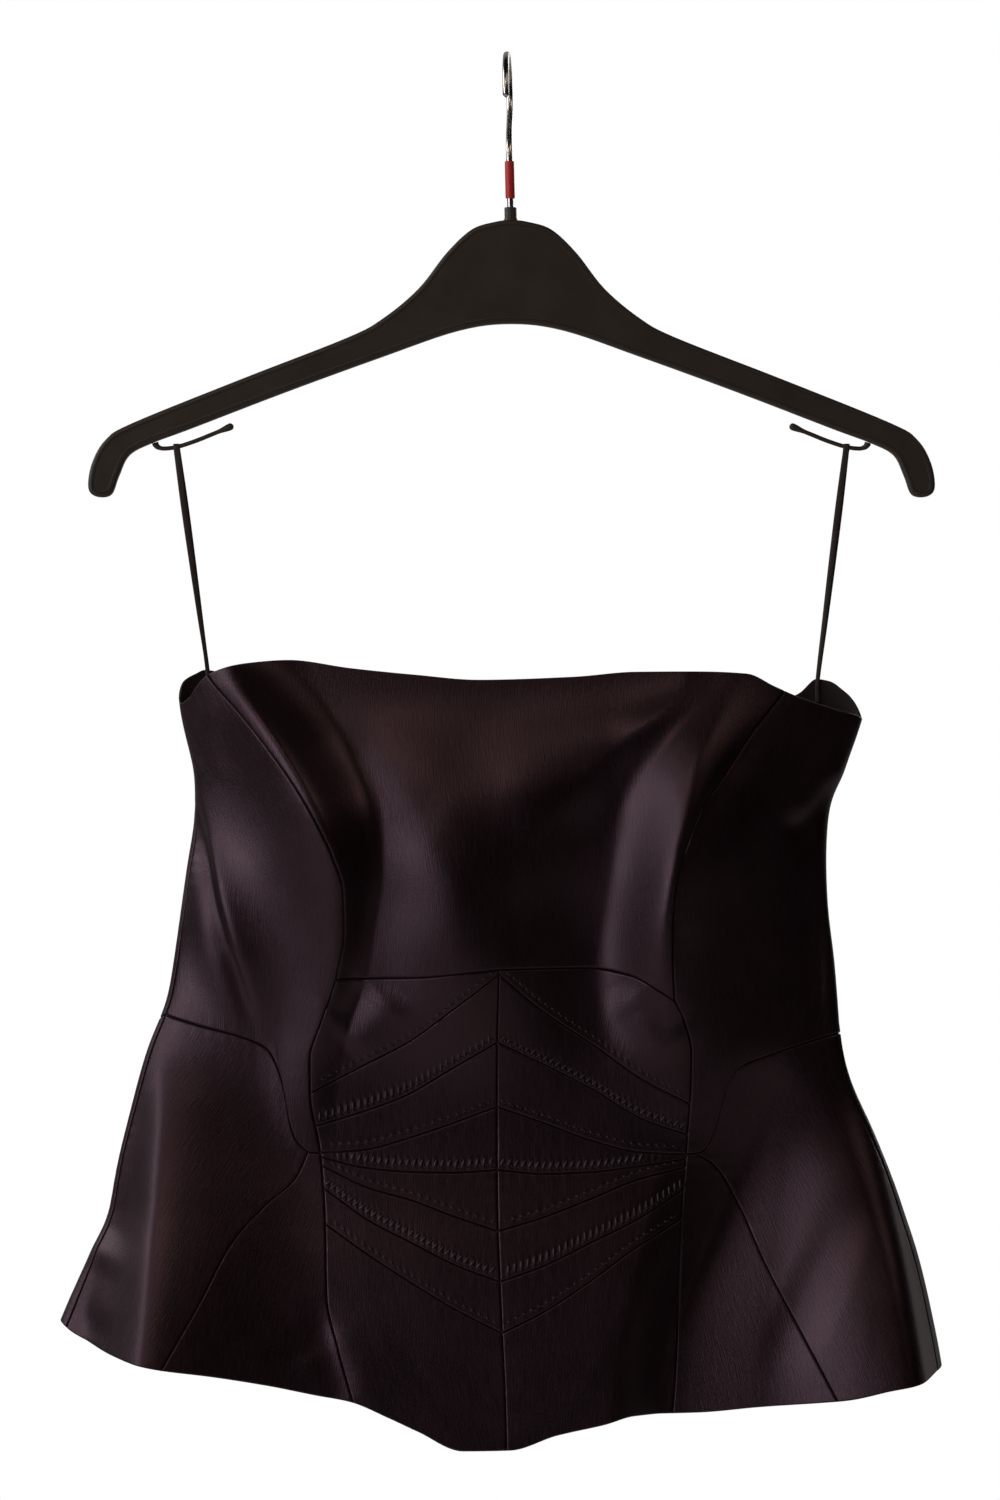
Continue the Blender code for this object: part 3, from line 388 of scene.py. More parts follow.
def hump(share, crest):
    # One flank of a fold: the cubic that falls from 1 to 0 with a level foot. It leaves the
    # crest at a slope of 2 less the crest's roundness, and the crest itself is eased.
    ease = clothSet["crestEase"]
    s = np.sqrt(share * share + ease ** 2) - ease
    s = np.clip(s / (math.hypot(1, ease) - ease), 0, 1)
    return (1 - s) ** 2 * (1 + crest * s)


def folded(folds, across, height):
    # Sum of the folds: each a hump across, of its own height and reach
    total = np.zeros(np.broadcast(across, height).shape)
    for crest, rows in folds.values():
        away = across - softened(height, rows, foldNames, "across")
        reach = np.where(away < 0, softened(height, rows, foldNames, "leftReach"),
                         softened(height, rows, foldNames, "rightReach"))
        rise = softened(height, rows, foldNames, "rise", level=True)
        total = total + rise * hump(np.abs(away) / reach, crest)
    return total


def surface(turn, height):
    # Middle of the cloth: an ellipse on each side of the hanger's plane, and the folds
    middle, half = spread(height)
    across = middle - half * np.cos(turn)
    depth = np.sin(turn)
    fade = eased(np.abs(depth) / clothSet["foldFade"])
    forward = depth * section(height, "front") + fade * folded(frontFolds, across, height)
    backward = -depth * section(height, "back") + fade * folded(backFolds, across, height)
    return np.stack([across, np.where(depth >= 0, -forward, backward), height + 0 * turn], -1)


def unit(vectors):
    # The same directions, each of length 1
    return vectors / np.linalg.norm(vectors, axis=-1, keepdims=True)


def runAlong(line):
    # How far each point of a line lies from its start
    return np.concatenate([[0], np.cumsum(np.linalg.norm(np.diff(line, axis=0), axis=1))])


def outward(turn, height):
    # Unit normal of the cloth: the cross product of small steps round and up
    around, up = 2e-3, 0.2
    along = surface(turn + around, height) - surface(turn - around, height)
    rise = surface(turn, height + up) - surface(turn, height - up)
    return unit(np.cross(along, rise))


def creased(turn, place):
    # Sum of the listed creases: each a bell across its line, run out at both ends,
    # with its own reach on the left and on the right of the line
    across, height = place[..., 0], place[..., 2]
    total = np.zeros(across.shape)
    ahead = eased(np.sin(turn) / clothSet["foldFade"] + 0.5)
    for rows, share in ((frontCreases, ahead), (backCreases, 1 - ahead)):
        for rise, leftReach, rightReach, line in rows:
            line = np.array(line, float)
            legs = np.diff(line, axis=0)
            known = runAlong(line)
            best = np.full(across.shape, np.inf)
            side, along = np.zeros(across.shape), np.zeros(across.shape)
            for start, leg, before in zip(line, legs, known):
                size = np.linalg.norm(leg)
                dx, dz = across - start[0], height - start[1]
                t = np.clip((dx * leg[0] + dz * leg[1]) / size ** 2, 0, 1)
                ox, oz = dx - t * leg[0], dz - t * leg[1]
                far = ox * ox + oz * oz
                near = far < best
                best = np.where(near, far, best)
                side = np.where(near, oz * leg[0] - ox * leg[1], side)
                along = np.where(near, before + t * size, along)
            t = along / known[-1]
            ends = eased(np.minimum(t, 1 - t) / clothSet["creaseEnds"])
            reach = np.where(side < 0, leftReach, rightReach)
            total = total + share * rise * ends * np.exp(-best / reach ** 2)
    return total


def edgeHeight(turn, front, back):
    # Height of the top edge or the hem at an angle round the ring
    ahead = [(float(turnOf(x, z)), z) for x, z in front]
    behind = [(float(turnOf(x, z, behind=True)), z) for x, z in back]
    ring = sorted(ahead + behind)
    ring = [(a - 2 * math.pi, z) for a, z in ring[-4:]] + ring
    ring = ring + [(a + 2 * math.pi, z) for a, z in ring[4:10]]
    return smooth(turn, [a for a, _ in ring], [z for _, z in ring])


def rim(turn):
    return edgeHeight(turn, frontRim, backRim)


def hem(turn):
    return edgeHeight(turn, frontHem, backHem)


def readAt(table, height):
    # A seam's place across, or its angle, at a height
    return smooth(height, [z for z, _ in table], [x for _, x in table])


def seamTurn(table, height):
    # Angle of a front seam at a height
    at = np.asarray(height, float)
    return turnOf(readAt(table, at), at)


def sideTurn(table, height, right=False):
    # Angle of a side seam at a height
    angle = np.radians(readAt(table, height))
    return math.pi - angle if right else angle


def meet(seam, edge, start):
    # Where a seam meets the top edge or the hem, by stepping half way each time
    height = start
    for _ in range(40):
        height = 0.5 * height + 0.5 * float(edge(seam(height)))
    return float(height)


def down(seam, top, low):
    # A side that runs down a seam, as a function of its share
    def side(share):
        height = top + (low - top) * share
        return np.stack([seam(height), height], -1)
    return side


def alongEdge(edge, start, end):
    # A side that runs round the top edge or the hem
    def side(share):
        turn = start + (end - start) * share
        return np.stack([turn, edge(turn)], -1)
    return side


def route(table, first=None, last=None):
    # A side along a smooth line through points across the front, by share of its length.
    # Its ends are drawn on to the given angle and height over the first or last twelfth.
    points = np.array(table, float)
    known = runAlong(points)

    def plain(share):
        across, height = (smooth(known[-1] * share, known, points[:, k]) for k in (0, 1))
        return np.stack([turnOf(across, height), height], -1)

    def side(share):
        made = plain(share)
        for given, end, near in ((first, 0.0, share), (last, 1.0, 1 - share)):
            if given is not None:
                off = np.array(given) - plain(np.array([end]))[0]
                made = made + np.exp(-(near * 12) ** 2)[:, None] * off
        return made
    return side


def straight(start, end):
    # A short straight side between two points
    return lambda share: np.array(start) + (np.array(end) - np.array(start)) * share[:, None]


def joined(first, second, part):
    # Two sides in a row: the first takes up the given part
    def side(share):
        low = first(np.clip(share / part, 0, 1))
        high = second(np.clip((share - part) / (1 - part), 0, 1))
        return np.where((share <= part)[:, None], low, high)
    return side


def fanSeam(tables, row):
    # A seam across the pointed front, from the princess seam to the centre front
    def side(share):
        height = smooth(share, [0, 0.25, 0.5, 0.75, 1.0], tables["fan"][row])
        outer, centre = readAt(tables["princess"], height), readAt(centreFront, height)
        return np.stack([turnOf((1 - share) * outer + share * centre, height), height], -1)
    return side


def lengthOf(side):
    # Length of a side along the cloth, in millimetres
    points = side(np.linspace(0, 1, 60))
    return float(np.linalg.norm(np.diff(surface(points[:, 0], points[:, 1]), axis=0), axis=1).sum())


def steps(length, cell):
    # Shares along a side: a few close steps by each end and even cells between them
    near = np.array(clothSet["edgeSteps"])
    near = near[near < max(0.25 * length, 0.1)]
    count = max(2, round((length - 2 * near[-1]) / cell))
    middle = np.linspace(near[-1], length - near[-1], count + 1)
    return np.concatenate([near[:-1], middle, (length - near[:-1])[::-1]]) / length


def patch(top, low, left, right, cell):
    # Coons patch: the mean of the four sides carried across, less the corners counted twice
    u = steps(max(lengthOf(top), lengthOf(low)), cell)
    v = steps(max(lengthOf(left), lengthOf(right)), cell)
    topLine, lowLine, leftLine, rightLine = top(u), low(u), left(v), right(v)
    u, v = u[None, :, None], v[:, None, None]
    sides = (1 - u) * leftLine[:, None] + u * rightLine[:, None]
    ends = (1 - v) * topLine[None] + v * lowLine[None]
    corners = ((1 - u) * (1 - v) * topLine[0] + u * (1 - v) * topLine[-1]
               + (1 - u) * v * lowLine[0] + u * v * lowLine[-1])
    return sides + ends - corners


def addMesh(name, points, faces, looks, faceLook=None, grain=None, crisp=50):
    # Points in millimetres and faces, given as arrays of 3, 4 or more corners a row
    mesh = bpy.data.meshes.new(name)
    corners = np.concatenate([np.asarray(f, np.int32).ravel() for f in faces])
    sizes = np.concatenate([np.full(len(f), np.asarray(f).shape[1]) for f in faces])
    mesh.vertices.add(len(points))
    mesh.vertices.foreach_set("co", (np.asarray(points, float) * mm).ravel())
    mesh.loops.add(len(corners))
    mesh.loops.foreach_set("vertex_index", corners)
    mesh.polygons.add(len(sizes))
    mesh.polygons.foreach_set("loop_start", np.concatenate([[0], np.cumsum(sizes)[:-1]]))
    if faceLook is not None:
        mesh.polygons.foreach_set("material_index", faceLook)
    mesh.update(calc_edges=True)
    mesh.validate()
    if grain is not None:
        layer = mesh.uv_layers.new(name="grain")
        layer.data.foreach_set("uv", (np.asarray(grain, float) * mm)[corners].ravel())
    mesh.shade_smooth()
    mesh.set_sharp_from_angle(angle=math.radians(crisp))
    for look in looks:
        mesh.materials.append(look)
    made = bpy.data.objects.new(name, mesh)
    bpy.context.collection.objects.link(made)
    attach(made, "root")
    return made


def gridFaces(rows, columns, start=0, closed=False):
    # Corner numbers of the four-sided faces of a grid, row by row
    index = start + np.arange(rows * columns).reshape(rows, columns)
    if closed:
        index = np.concatenate([index, index[:, :1]], axis=1)
    a, b, c, d = index[:-1, :-1], index[1:, :-1], index[1:, 1:], index[:-1, 1:]
    return np.stack([a, b, c, d], -1).reshape(-1, 4)


def ringOf(rows, columns):
    # Corner numbers round a grid's border, one after the other
    index = np.arange(rows * columns).reshape(rows, columns)
    return np.concatenate([index[:, 0], index[-1, 1:], index[-2::-1, -1], index[0, -2:0:-1]])


def sideDistances(place):
    # Distance in millimetres of every point from the four sides, along the grid's lines
    across = np.linalg.norm(np.diff(place, axis=1), axis=-1)
    below = np.linalg.norm(np.diff(place, axis=0), axis=-1)
    left = np.concatenate([np.zeros((place.shape[0], 1)), np.cumsum(across, axis=1)], axis=1)
    top = np.concatenate([np.zeros((1, place.shape[1])), np.cumsum(below, axis=0)], axis=0)
    return {"left": left, "right": left[:, -1:] - left, "top": top, "low": top[-1:] - top}


def seamDip(distance, along):
    # A seam's groove, and the small puckers that run out from it
    s = clothSet
    sway = s["puckerSway"] * np.sin(along / s["puckerDrift"])
    waves = np.sin(along / s["puckerStep"] * s["puckerTurn"] + sway)
    patches = np.sin(along / s["puckerPatch"] + s["patchShift"])
    waves = waves * (s["patchMean"] + s["patchShare"] * patches)
    groove = -s["grooveDeep"] * np.exp(-(distance / s["grooveReach"]) ** 2)
    return groove + s["puckerRise"] * waves * np.exp(-distance / s["puckerReach"])


def stitchedRows(away, band):
    # The cloth's own wave beside a row of stitches: drawn in along the row, puffed either side
    if band not in fanRows:
        return 0.0
    s, both = stitchKinds[fanRows[band]], stitchSet
    off = (away["low"] - s["above"]) / s["tall"]
    strip = np.exp(-(off * both["narrow"]) ** 2)
    # Along counts from the princess seam, as the stitches do
    along = away["left"][-1] - s["start"] + 0 * away["left"]
    ends = eased(np.minimum(away["left"], away["right"]) / both["runOut"])
    return ends * strip * s["dip"] * (np.cos(along / s["spacing"] * 2 * math.pi) - both["drawn"])


def addPanel(name, sides, cell, edges=(), band=None):
    # A thin shell on the solid's own surface, between the four sides, with its seams drawn in
    # and its top edge or hem turned. Both walls are moved along the cloth's normal.
    s = clothSet
    grid = patch(*sides, cell)
    turn, height = grid[..., 0], grid[..., 1]
    rows, columns = turn.shape
    place, normal = surface(turn, height), outward(turn, height)
    away = sideDistances(place)
    lift, dip = creased(turn, place), 0.0
    for side in ("left", "right", "top", "low"):
        if side not in edges:
            along = place[..., 2] if side in ("left", "right") else place[..., 0]
            dip = dip + seamDip(away[side], along)
    dip = np.maximum(dip + stitchedRows(away, band), -s["shellThick"] * s["deepest"])
    half = s["shellThick"] / 2
    outer = place + normal * (lift + dip + half)[..., None]
    inner = place + normal * (lift - half)[..., None]
    # Above 0 where the grid runs so that its faces look outward
    ahead = (np.cross(place[1:, 1:] - place[:-1, 1:], place[1:, 1:] - place[1:, :-1])
             * normal[1:, 1:]).sum()
    points = [outer.reshape(-1, 3), inner.reshape(-1, 3)]
    count = rows * columns
    outerFaces, innerFaces = gridFaces(rows, columns), gridFaces(rows, columns, count)
    if ahead > 0:
        innerFaces = innerFaces[:, ::-1]
    else:
        outerFaces = outerFaces[:, ::-1]
    # The rolled edge: more rings between the two walls, pushed out where the edge is turned
    ring = ringOf(rows, columns)
    r, c = ring // columns, ring % columns
    inward = unit(place[np.clip(r, 1, rows - 2), np.clip(c, 1, columns - 2)] - place[r, c])
    onEdge = np.zeros(len(ring))
    for side, hit in (("top", r == 0), ("low", r == rows - 1), ("left", c == 0),
                      ("right", c == columns - 1)):
        if side in edges:
            onEdge = np.maximum(onEdge, hit)
    walls = []
    for turned in s["edgeTurns"]:
        a = math.radians(turned)
        mix = 0.5 - 0.5 * math.cos(a)
        walls.append(outer[r, c] * (1 - mix) + inner[r, c] * mix
                     - inward * (half * math.sin(a) * onEdge)[:, None])
    points += walls
    loops = [ring] + [2 * count + k * len(ring) + np.arange(len(ring)) for k in range(len(walls))]
    loops.append(ring + count)
    wallFaces = np.concatenate([np.stack([a, b, np.roll(b, -1), np.roll(a, -1)], -1)
                                for a, b in zip(loops, loops[1:])])
    if ahead < 0:
        wallFaces = wallFaces[:, ::-1]
    faces = [outerFaces, wallFaces, innerFaces]
    looks = np.concatenate([np.zeros(len(outerFaces) + len(wallFaces), int),
                            np.ones(len(innerFaces), int)])
    grain = np.stack([away["left"] - away["left"][:, -1:] / 2, -away["top"]], -1).reshape(-1, 2)
    grain = np.concatenate([grain, grain] + [grain[ring]] * len(walls))
    made = addMesh(name + "_cloth", np.concatenate(points), faces, [satin, lining], looks, grain)
    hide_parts(name)
    kind = fanRows.get(band)
    label = name.removeprefix("front_band_")
    row = [addStitches(f"{kind}_row_{label}", outer, away, kind)] if kind else []
    return made


def feed(tree, node, feeds):
    # A node's inputs, by name or number, as values or as sockets to link from
    for name, value in feeds.items():
        if isinstance(value, bpy.types.NodeSocket):
            tree.links.new(value, node.inputs[name])
        else:
            node.inputs[name].default_value = value


def addNode(tree, kind, feeds=None, **settings):
    # A shader node with its settings and its inputs
    made = tree.nodes.new(kind)
    for name, value in settings.items():
        setattr(made, name, value)
    feed(tree, made, feeds or {})
    return made


def blend(tree, factor, dark, light):
    # A colour between two, by a factor
    made = addNode(tree, "ShaderNodeMix", data_type="RGBA")
    dark, light = (c if isinstance(c, bpy.types.NodeSocket) else (*c, 1) for c in (dark, light))
    feed(tree, made, {0: factor, 6: dark, 7: light})
    return made.outputs[2]


def sums(tree, operation, *values):
    # A sum or product of values or sockets
    return addNode(tree, "ShaderNodeMath", dict(enumerate(values)), operation=operation).outputs[0]


def noise(tree, vector, scale, detail, rough=0.5):
    return addNode(tree, "ShaderNodeTexNoise", {"Vector": vector, "Scale": scale,
                   "Detail": detail, "Roughness": rough}).outputs[0]


def ranged(tree, value, low, high, to=(0.0, 1.0)):
    # A value carried from the range low to high on to another, and held at its ends
    return addNode(tree, "ShaderNodeMapRange", {"Value": value, "From Min": low, "From Max": high,
                   "To Min": to[0], "To Max": to[1]}).outputs[0]


def newGroup(name, inputs, outputs):
    # A shader node group with named inputs, each with its value, and named outputs
    made = bpy.data.node_groups.new(name, "ShaderNodeTree")
    for label, kind, value in inputs:
        socket = made.interface.new_socket(label, in_out="INPUT", socket_type=kind)
        if value is not None:
            socket.default_value = value
    for label, kind in outputs:
        made.interface.new_socket(label, in_out="OUTPUT", socket_type=kind)
    return made, made.nodes.new("NodeGroupInput"), made.nodes.new("NodeGroupOutput")


def weaveGroup():
    # Cloth grain: long fine slubs along the warp, short crossing floats, and soft clouds.
    # Each is noise read on the cloth's own lengths, stretched as the thread runs.
    made, given, put = newGroup(
        "clothGrain",
        [("Vector", "NodeSocketVector", None), ("Slubs", "NodeSocketFloat", 1800.0),
         ("Stretch", "NodeSocketFloat", 0.07), ("Clouds", "NodeSocketFloat", 30.0)],
        [("Tone", "NodeSocketFloat"), ("Height", "NodeSocketFloat")])
    lengths, scale = given.outputs["Vector"], given.outputs["Slubs"]
    parts = addNode(made, "ShaderNodeSeparateXYZ", {0: lengths})
    drawn = sums(made, "MULTIPLY", parts.outputs[1], given.outputs["Stretch"])
    along = addNode(made, "ShaderNodeCombineXYZ", {0: parts.outputs[0], 1: drawn})
    squeezed = sums(made, "MULTIPLY", parts.outputs[0], 0.25)
    cross = addNode(made, "ShaderNodeCombineXYZ", {0: squeezed, 1: parts.outputs[1]})
    slubs = noise(made, along.outputs[0], scale, 3.0, 0.6)
    floats = noise(made, cross.outputs[0], scale, 1.0)
    clouds = noise(made, lengths, given.outputs["Clouds"], 2.0)
    fine = sums(made, "MULTIPLY", slubs, 0.75)
    both = sums(made, "MULTIPLY_ADD", floats, 0.25, fine)
    feed(made, put, {"Tone": sums(made, "MULTIPLY_ADD", clouds, 0.5, both), "Height": both})
    return made


def handledGroup():
    # Handling marks on a hard surface: broad smudges and thin scratches, both from noise
    made, given, put = newGroup(
        "handled",
        [("Vector", "NodeSocketVector", None), ("Smudges", "NodeSocketFloat", 40.0),
         ("Scratches", "NodeSocketFloat", 900.0)],
        [("Smudge", "NodeSocketFloat"), ("Scratch", "NodeSocketFloat"),
         ("Height", "NodeSocketFloat")])
    place, fine = given.outputs["Vector"], given.outputs["Scratches"]
    smudge = noise(made, place, given.outputs["Smudges"], 4.0, 0.6)
    stretched = addNode(made, "ShaderNodeMapping", {"Vector": place, "Scale": (0.08, 1.0, 1.0),
                        "Rotation": (0.2, 0.4, 0.3)})
    lines = noise(made, stretched.outputs[0], fine, 2.0)
    feed(made, put, {"Smudge": smudge, "Scratch": ranged(made, lines, 0.66, 0.74),
                     "Height": noise(made, place, fine, 1.0)})
    return made


def newLook(name):
    # A material with its node tree and its shader
    made = bpy.data.materials.new(name)
    made.use_nodes = True
    return made, made.node_tree, made.node_tree.nodes["Principled BSDF"]


def clothLook(name, s):
    # A woven look: two colours and two roughnesses by the grain's tone, and its height as bump
    made, tree, shader = newLook(name)
    lengths = addNode(tree, "ShaderNodeUVMap", uv_map="grain")
    grain = addNode(tree, "ShaderNodeGroup", node_tree=clothGrain)
    feed(tree, grain, {"Vector": lengths.outputs[0], "Slubs": s["slubs"],
                       "Stretch": s["stretch"], "Clouds": s["clouds"]})
    tone = grain.outputs["Tone"]
    colour = blend(tree, ranged(tree, tone, 0.5, 1.0), s["dark"], s["light"])
    bump = addNode(tree, "ShaderNodeBump", {"Height": grain.outputs["Height"],
                   "Strength": s["bump"], "Distance": s["relief"] * mm})
    tint = (*s["sheenTint"], 1)
    feed(tree, shader, {
        "Base Color": colour, "Roughness": ranged(tree, tone, 0.5, 1.0, s["rough"]),
        "Normal": bump.outputs[0], "Sheen Weight": s["sheen"], "Sheen Roughness": s["sheenRough"],
        "Sheen Tint": tint, "Specular IOR Level": s["specular"], "Specular Tint": tint})
    return made


def hardLook(name, s):
    # A moulded or plated look: smudges change its roughness and scratches lighten it
    made, tree, shader = newLook(name)
    place = addNode(tree, "ShaderNodeTexCoord")
    marks = addNode(tree, "ShaderNodeGroup", node_tree=handled)
    feed(tree, marks, {"Vector": place.outputs["Object"], "Smudges": s["smudges"],
                       "Scratches": s["scratches"]})
    smudge = marks.outputs["Smudge"]
    worn = sums(tree, "MULTIPLY", marks.outputs["Scratch"], s["worn"])
    colour = blend(tree, worn, blend(tree, smudge, s["dark"], s["light"]), s["scratch"])
    bump = addNode(tree, "ShaderNodeBump", {"Height": marks.outputs["Height"],
                   "Strength": s["bump"], "Distance": 0.05 * mm})
    feed(tree, shader, {
        "Base Color": colour, "Roughness": ranged(tree, smudge, 0.3, 0.7, s["rough"]),
        "Normal": bump.outputs[0], "Metallic": s["metal"], "Specular IOR Level": s["specular"]})
    return made


clothGrain, handled = weaveGroup(), handledGroup()
satin = clothLook("satin_cloth", {
    "dark": (0.0036, 0.0017, 0.0022), "light": (0.0150, 0.0072, 0.0094), "rough": (0.31, 0.43),
    "slubs": 1500.0, "stretch": 0.06, "clouds": 26.0, "bump": 0.75, "relief": 0.22,
    "sheen": 0.03, "sheenRough": 0.45, "sheenTint": (1.0, 0.66, 0.79), "specular": 0.72})
lining = clothLook("lining_cloth", {
    "dark": (0.016, 0.010, 0.008), "light": (0.032, 0.021, 0.017), "rough": (0.52, 0.64),
    "slubs": 1100.0, "stretch": 0.3, "clouds": 20.0, "bump": 0.4, "relief": 0.15,
    "sheen": 0.1, "sheenRough": 0.5, "sheenTint": (0.8, 0.75, 0.78), "specular": 0.35})
thread = clothLook("thread", {
    "dark": (0.022, 0.013, 0.017), "light": (0.050, 0.031, 0.038), "rough": (0.34, 0.46),
    "slubs": 2600.0, "stretch": 0.2, "clouds": 200.0, "bump": 0.5, "relief": 0.12,
    "sheen": 0.2, "sheenRough": 0.4, "sheenTint": (0.9, 0.8, 0.88), "specular": 0.6})
ribbonSatin = clothLook("ribbon_cloth", {
    "dark": (0.040, 0.031, 0.026), "light": (0.082, 0.065, 0.054), "rough": (0.40, 0.52),
    "slubs": 1600.0, "stretch": 3.0, "clouds": 90.0, "bump": 0.5, "relief": 0.12,
    "sheen": 0.25, "sheenRough": 0.4, "sheenTint": (0.9, 0.78, 0.8), "specular": 0.5})
hangerPlastic = hardLook("hanger_plastic_grain", {
    "dark": (0.0470, 0.0360, 0.0270), "light": (0.0700, 0.0550, 0.0420), "rough": (0.38, 0.50),
    "smudges": 38.0, "scratches": 700.0, "worn": 0.10, "scratch": (0.08, 0.075, 0.07),
    "bump": 0.12, "metal": 0.0, "specular": 0.5})
chrome = hardLook("chrome_wire", {
    "dark": (0.72, 0.71, 0.68), "light": (0.86, 0.85, 0.81), "rough": (0.16, 0.30),
    "smudges": 90.0, "scratches": 1400.0, "worn": 0.25, "scratch": (0.35, 0.34, 0.33),
    "bump": 0.05, "metal": 1.0, "specular": 0.5})
redPlastic = hardLook("red_sleeve", {
    "dark": (0.70, 0.035, 0.040), "light": (0.88, 0.060, 0.058), "rough": (0.30, 0.44),
    "smudges": 120.0, "scratches": 1100.0, "worn": 0.15, "scratch": (0.90, 0.42, 0.40),
    "bump": 0.1, "metal": 0.0, "specular": 0.5})
print("materials made:", len(bpy.data.materials))


def sampled(field, row, column):
    # A value read between the points of a grid, by its row and column
    r, c = np.floor(row).astype(int), np.floor(column).astype(int)
    r, c = np.clip(r, 0, field.shape[0] - 2), np.clip(c, 0, field.shape[1] - 2)
    t, u = (row - r)[:, None], (column - c)[:, None]
    return ((field[r, c] * (1 - u) + field[r, c + 1] * u) * (1 - t)
            + (field[r + 1, c] * (1 - u) + field[r + 1, c + 1] * u) * t)


def stitchShape(kind):
    # One stitch: half an egg on a grid of two angles, long, wide and high, sunk at its ends
    s, both = stitchKinds[kind], stitchSet
    turns = np.linspace(0, 2 * math.pi, both["around"] + 1)[:-1]
    around, over = np.meshgrid(turns, np.linspace(0, 1, both["over"]))
    reach = np.cos(over * math.pi / 2)
    x = s["wide"] / 2 * np.sin(around) * reach
    y = s["long"] / 2 * np.cos(around) * reach
    z = s["high"] * np.sin(over * math.pi / 2) - both["sink"]
    return np.stack([x, y, z], -1), gridFaces(both["over"], both["around"], closed=True)


def addStitches(name, outer, away, kind):
    # A row of stitches above a band's lower seam, each set square on the cloth and slanted
    s = stitchKinds[kind]
    rows, columns = outer.shape[:2]
    at = np.arange(s["start"], away["left"][-1, -1] - stitchSet["endRoom"], s["spacing"])
    column = np.interp(at, away["left"][-1], np.arange(columns))
    below = away["low"][:, np.round(column).astype(int)]
    row = np.array([np.interp(s["above"], d[::-1], np.arange(rows)[::-1]) for d in below.T])
    room = below[0] > s["above"] + s["long"] * stitchSet["edgeRoom"]
    row, column = row[room], column[room]
    centre = sampled(outer, row, column)
    along = unit(sampled(outer, row, np.minimum(column + 1, columns - 1))
                 - sampled(outer, row, np.maximum(column - 1, 0)))
    # Along runs from the princess seam to the centre; the slant leans one way on each half
    sign = np.sign(along[:, :1])
    right = along * sign
    up = unit(np.array([[0.0, 0.0, 1.0]]) - right * right[:, 2:])
    normal = np.cross(right, up)
    lean = math.radians(s["lean"])
    shape, faces = stitchShape(kind)
    points, allFaces = [], []
    for part in s["parts"]:
        tilt = lean * part["lean"]
        wide = (right * math.cos(tilt) - up * math.sin(tilt)) * part["size"]
        tall = (right * math.sin(tilt) + up * math.cos(tilt)) * part["size"]
        middle = centre + right * part["shift"] + up * part["lift"]
        made = (middle[:, None, None] + shape[None, ..., :1] * wide[:, None, None]
                + shape[None, ..., 1:2] * tall[:, None, None]
                + shape[None, ..., 2:] * normal[:, None, None])
        count = shape.shape[0] * shape.shape[1]
        first = sum(len(p) for p in points) + np.arange(len(row)) * count
        points.append(made.reshape(-1, 3))
        allFaces.append((faces[None] + first[:, None, None]).reshape(-1, 4))
    points = np.concatenate(points)
    grain = points[:, [0, 2]]
    made = addMesh(name, points, [np.concatenate(allFaces)], [thread], grain=grain)
    return made


def sweepTube(points, radii, sides=16):
    # A round bar carried along a line of points, with its radius at each and its ends drawn in
    points, radii = np.array(points, float), np.array(radii, float)
    along = unit(np.gradient(points, axis=0))
    across = np.zeros_like(points)
    anyWay = [0.31, 0.94, 0.13]
    first = np.cross(along[0], anyWay)
    across[0] = first / np.linalg.norm(first)
    for i in range(1, len(points)):
        turned = across[i - 1] - along[i] * (across[i - 1] @ along[i])
        across[i] = turned / np.linalg.norm(turned)
    other = np.cross(along, across)
    angle = np.arange(sides) * 2 * math.pi / sides
    ring = (np.cos(angle)[None, :, None] * across[:, None]
            + np.sin(angle)[None, :, None] * other[:, None])
    made = points[:, None] + ring * radii[:, None, None]
    count = len(points) * sides
    ends = [np.arange(sides)[::-1][None], (count - sides + np.arange(sides))[None]]
    return made.reshape(-1, 3), [gridFaces(len(points), sides, closed=True)[:, ::-1]] + ends


def lathe(profile, lean, sides=40):
    # A profile of radius and height turned about an upright line that leans with the hook
    profile = np.array(profile, float)
    angle = np.arange(sides) * 2 * math.pi / sides
    x = profile[:, :1] * np.cos(angle) - lean * profile[:, 1:]
    y = profile[:, :1] * np.sin(angle)
    z = profile[:, 1:] + 0 * angle
    return np.stack([x, y, z], -1).reshape(-1, 3), [gridFaces(len(profile), sides, closed=True)]


def cubicBetween(before, start, end, after, t):
    # From start to end, with each end's slope half the way between its neighbours
    return 0.5 * (2 * start + (end - before) * t
                  + (2 * before - 5 * start + 4 * end - after) * t ** 2
                  + (3 * start - before - 3 * end + after) * t ** 3)


def catmull(points, between):
    # A smooth line through every point, by the cubic whose slopes join its neighbours
    points = np.array(points, float)
    padded = np.concatenate([[2 * points[0] - points[1]], points, [2 * points[-1] - points[-2]]])
    a, b, c, d = (padded[i:len(padded) - 3 + i, None] for i in range(4))
    t = np.linspace(0, 1, between, endpoint=False)[None, :, None]
    line = cubicBetween(a, b, c, d, t)
    return np.concatenate([line.reshape(-1, points.shape[1]), points[-1:]])


# Hanger outline, right half from the top of the dome round to the middle below
hangerOutline = [
    (0, -82.7), (8.7, -83.7), (20.4, -87.6), (33.1, -99.5), (47.3, -117.6), (65.2, -132.6),
    (83.5, -142.5), (138, -163.8), (192.9, -186.0), (206.4, -194.4), (213.3, -206.1),
    (215.3, -218.4), (211.7, -223.1), (203.8, -222.3), (199.8, -212.8), (194.5, -202.2),
    (183, -196), (163.4, -188.7), (114.5, -169.9), (65.7, -152.1), (27, -138.8), (0, -135.3),
]
hangerSet = {"thick": 11.0, "offset": 2.3, "edge": 1.6, "edgeTurns": (0, 22, 45, 68, 90), "between": 6,
             "socket": 1.95, "socketDeep": 9.0, "bossRadius": 3.1, "bossTop": -76.0}
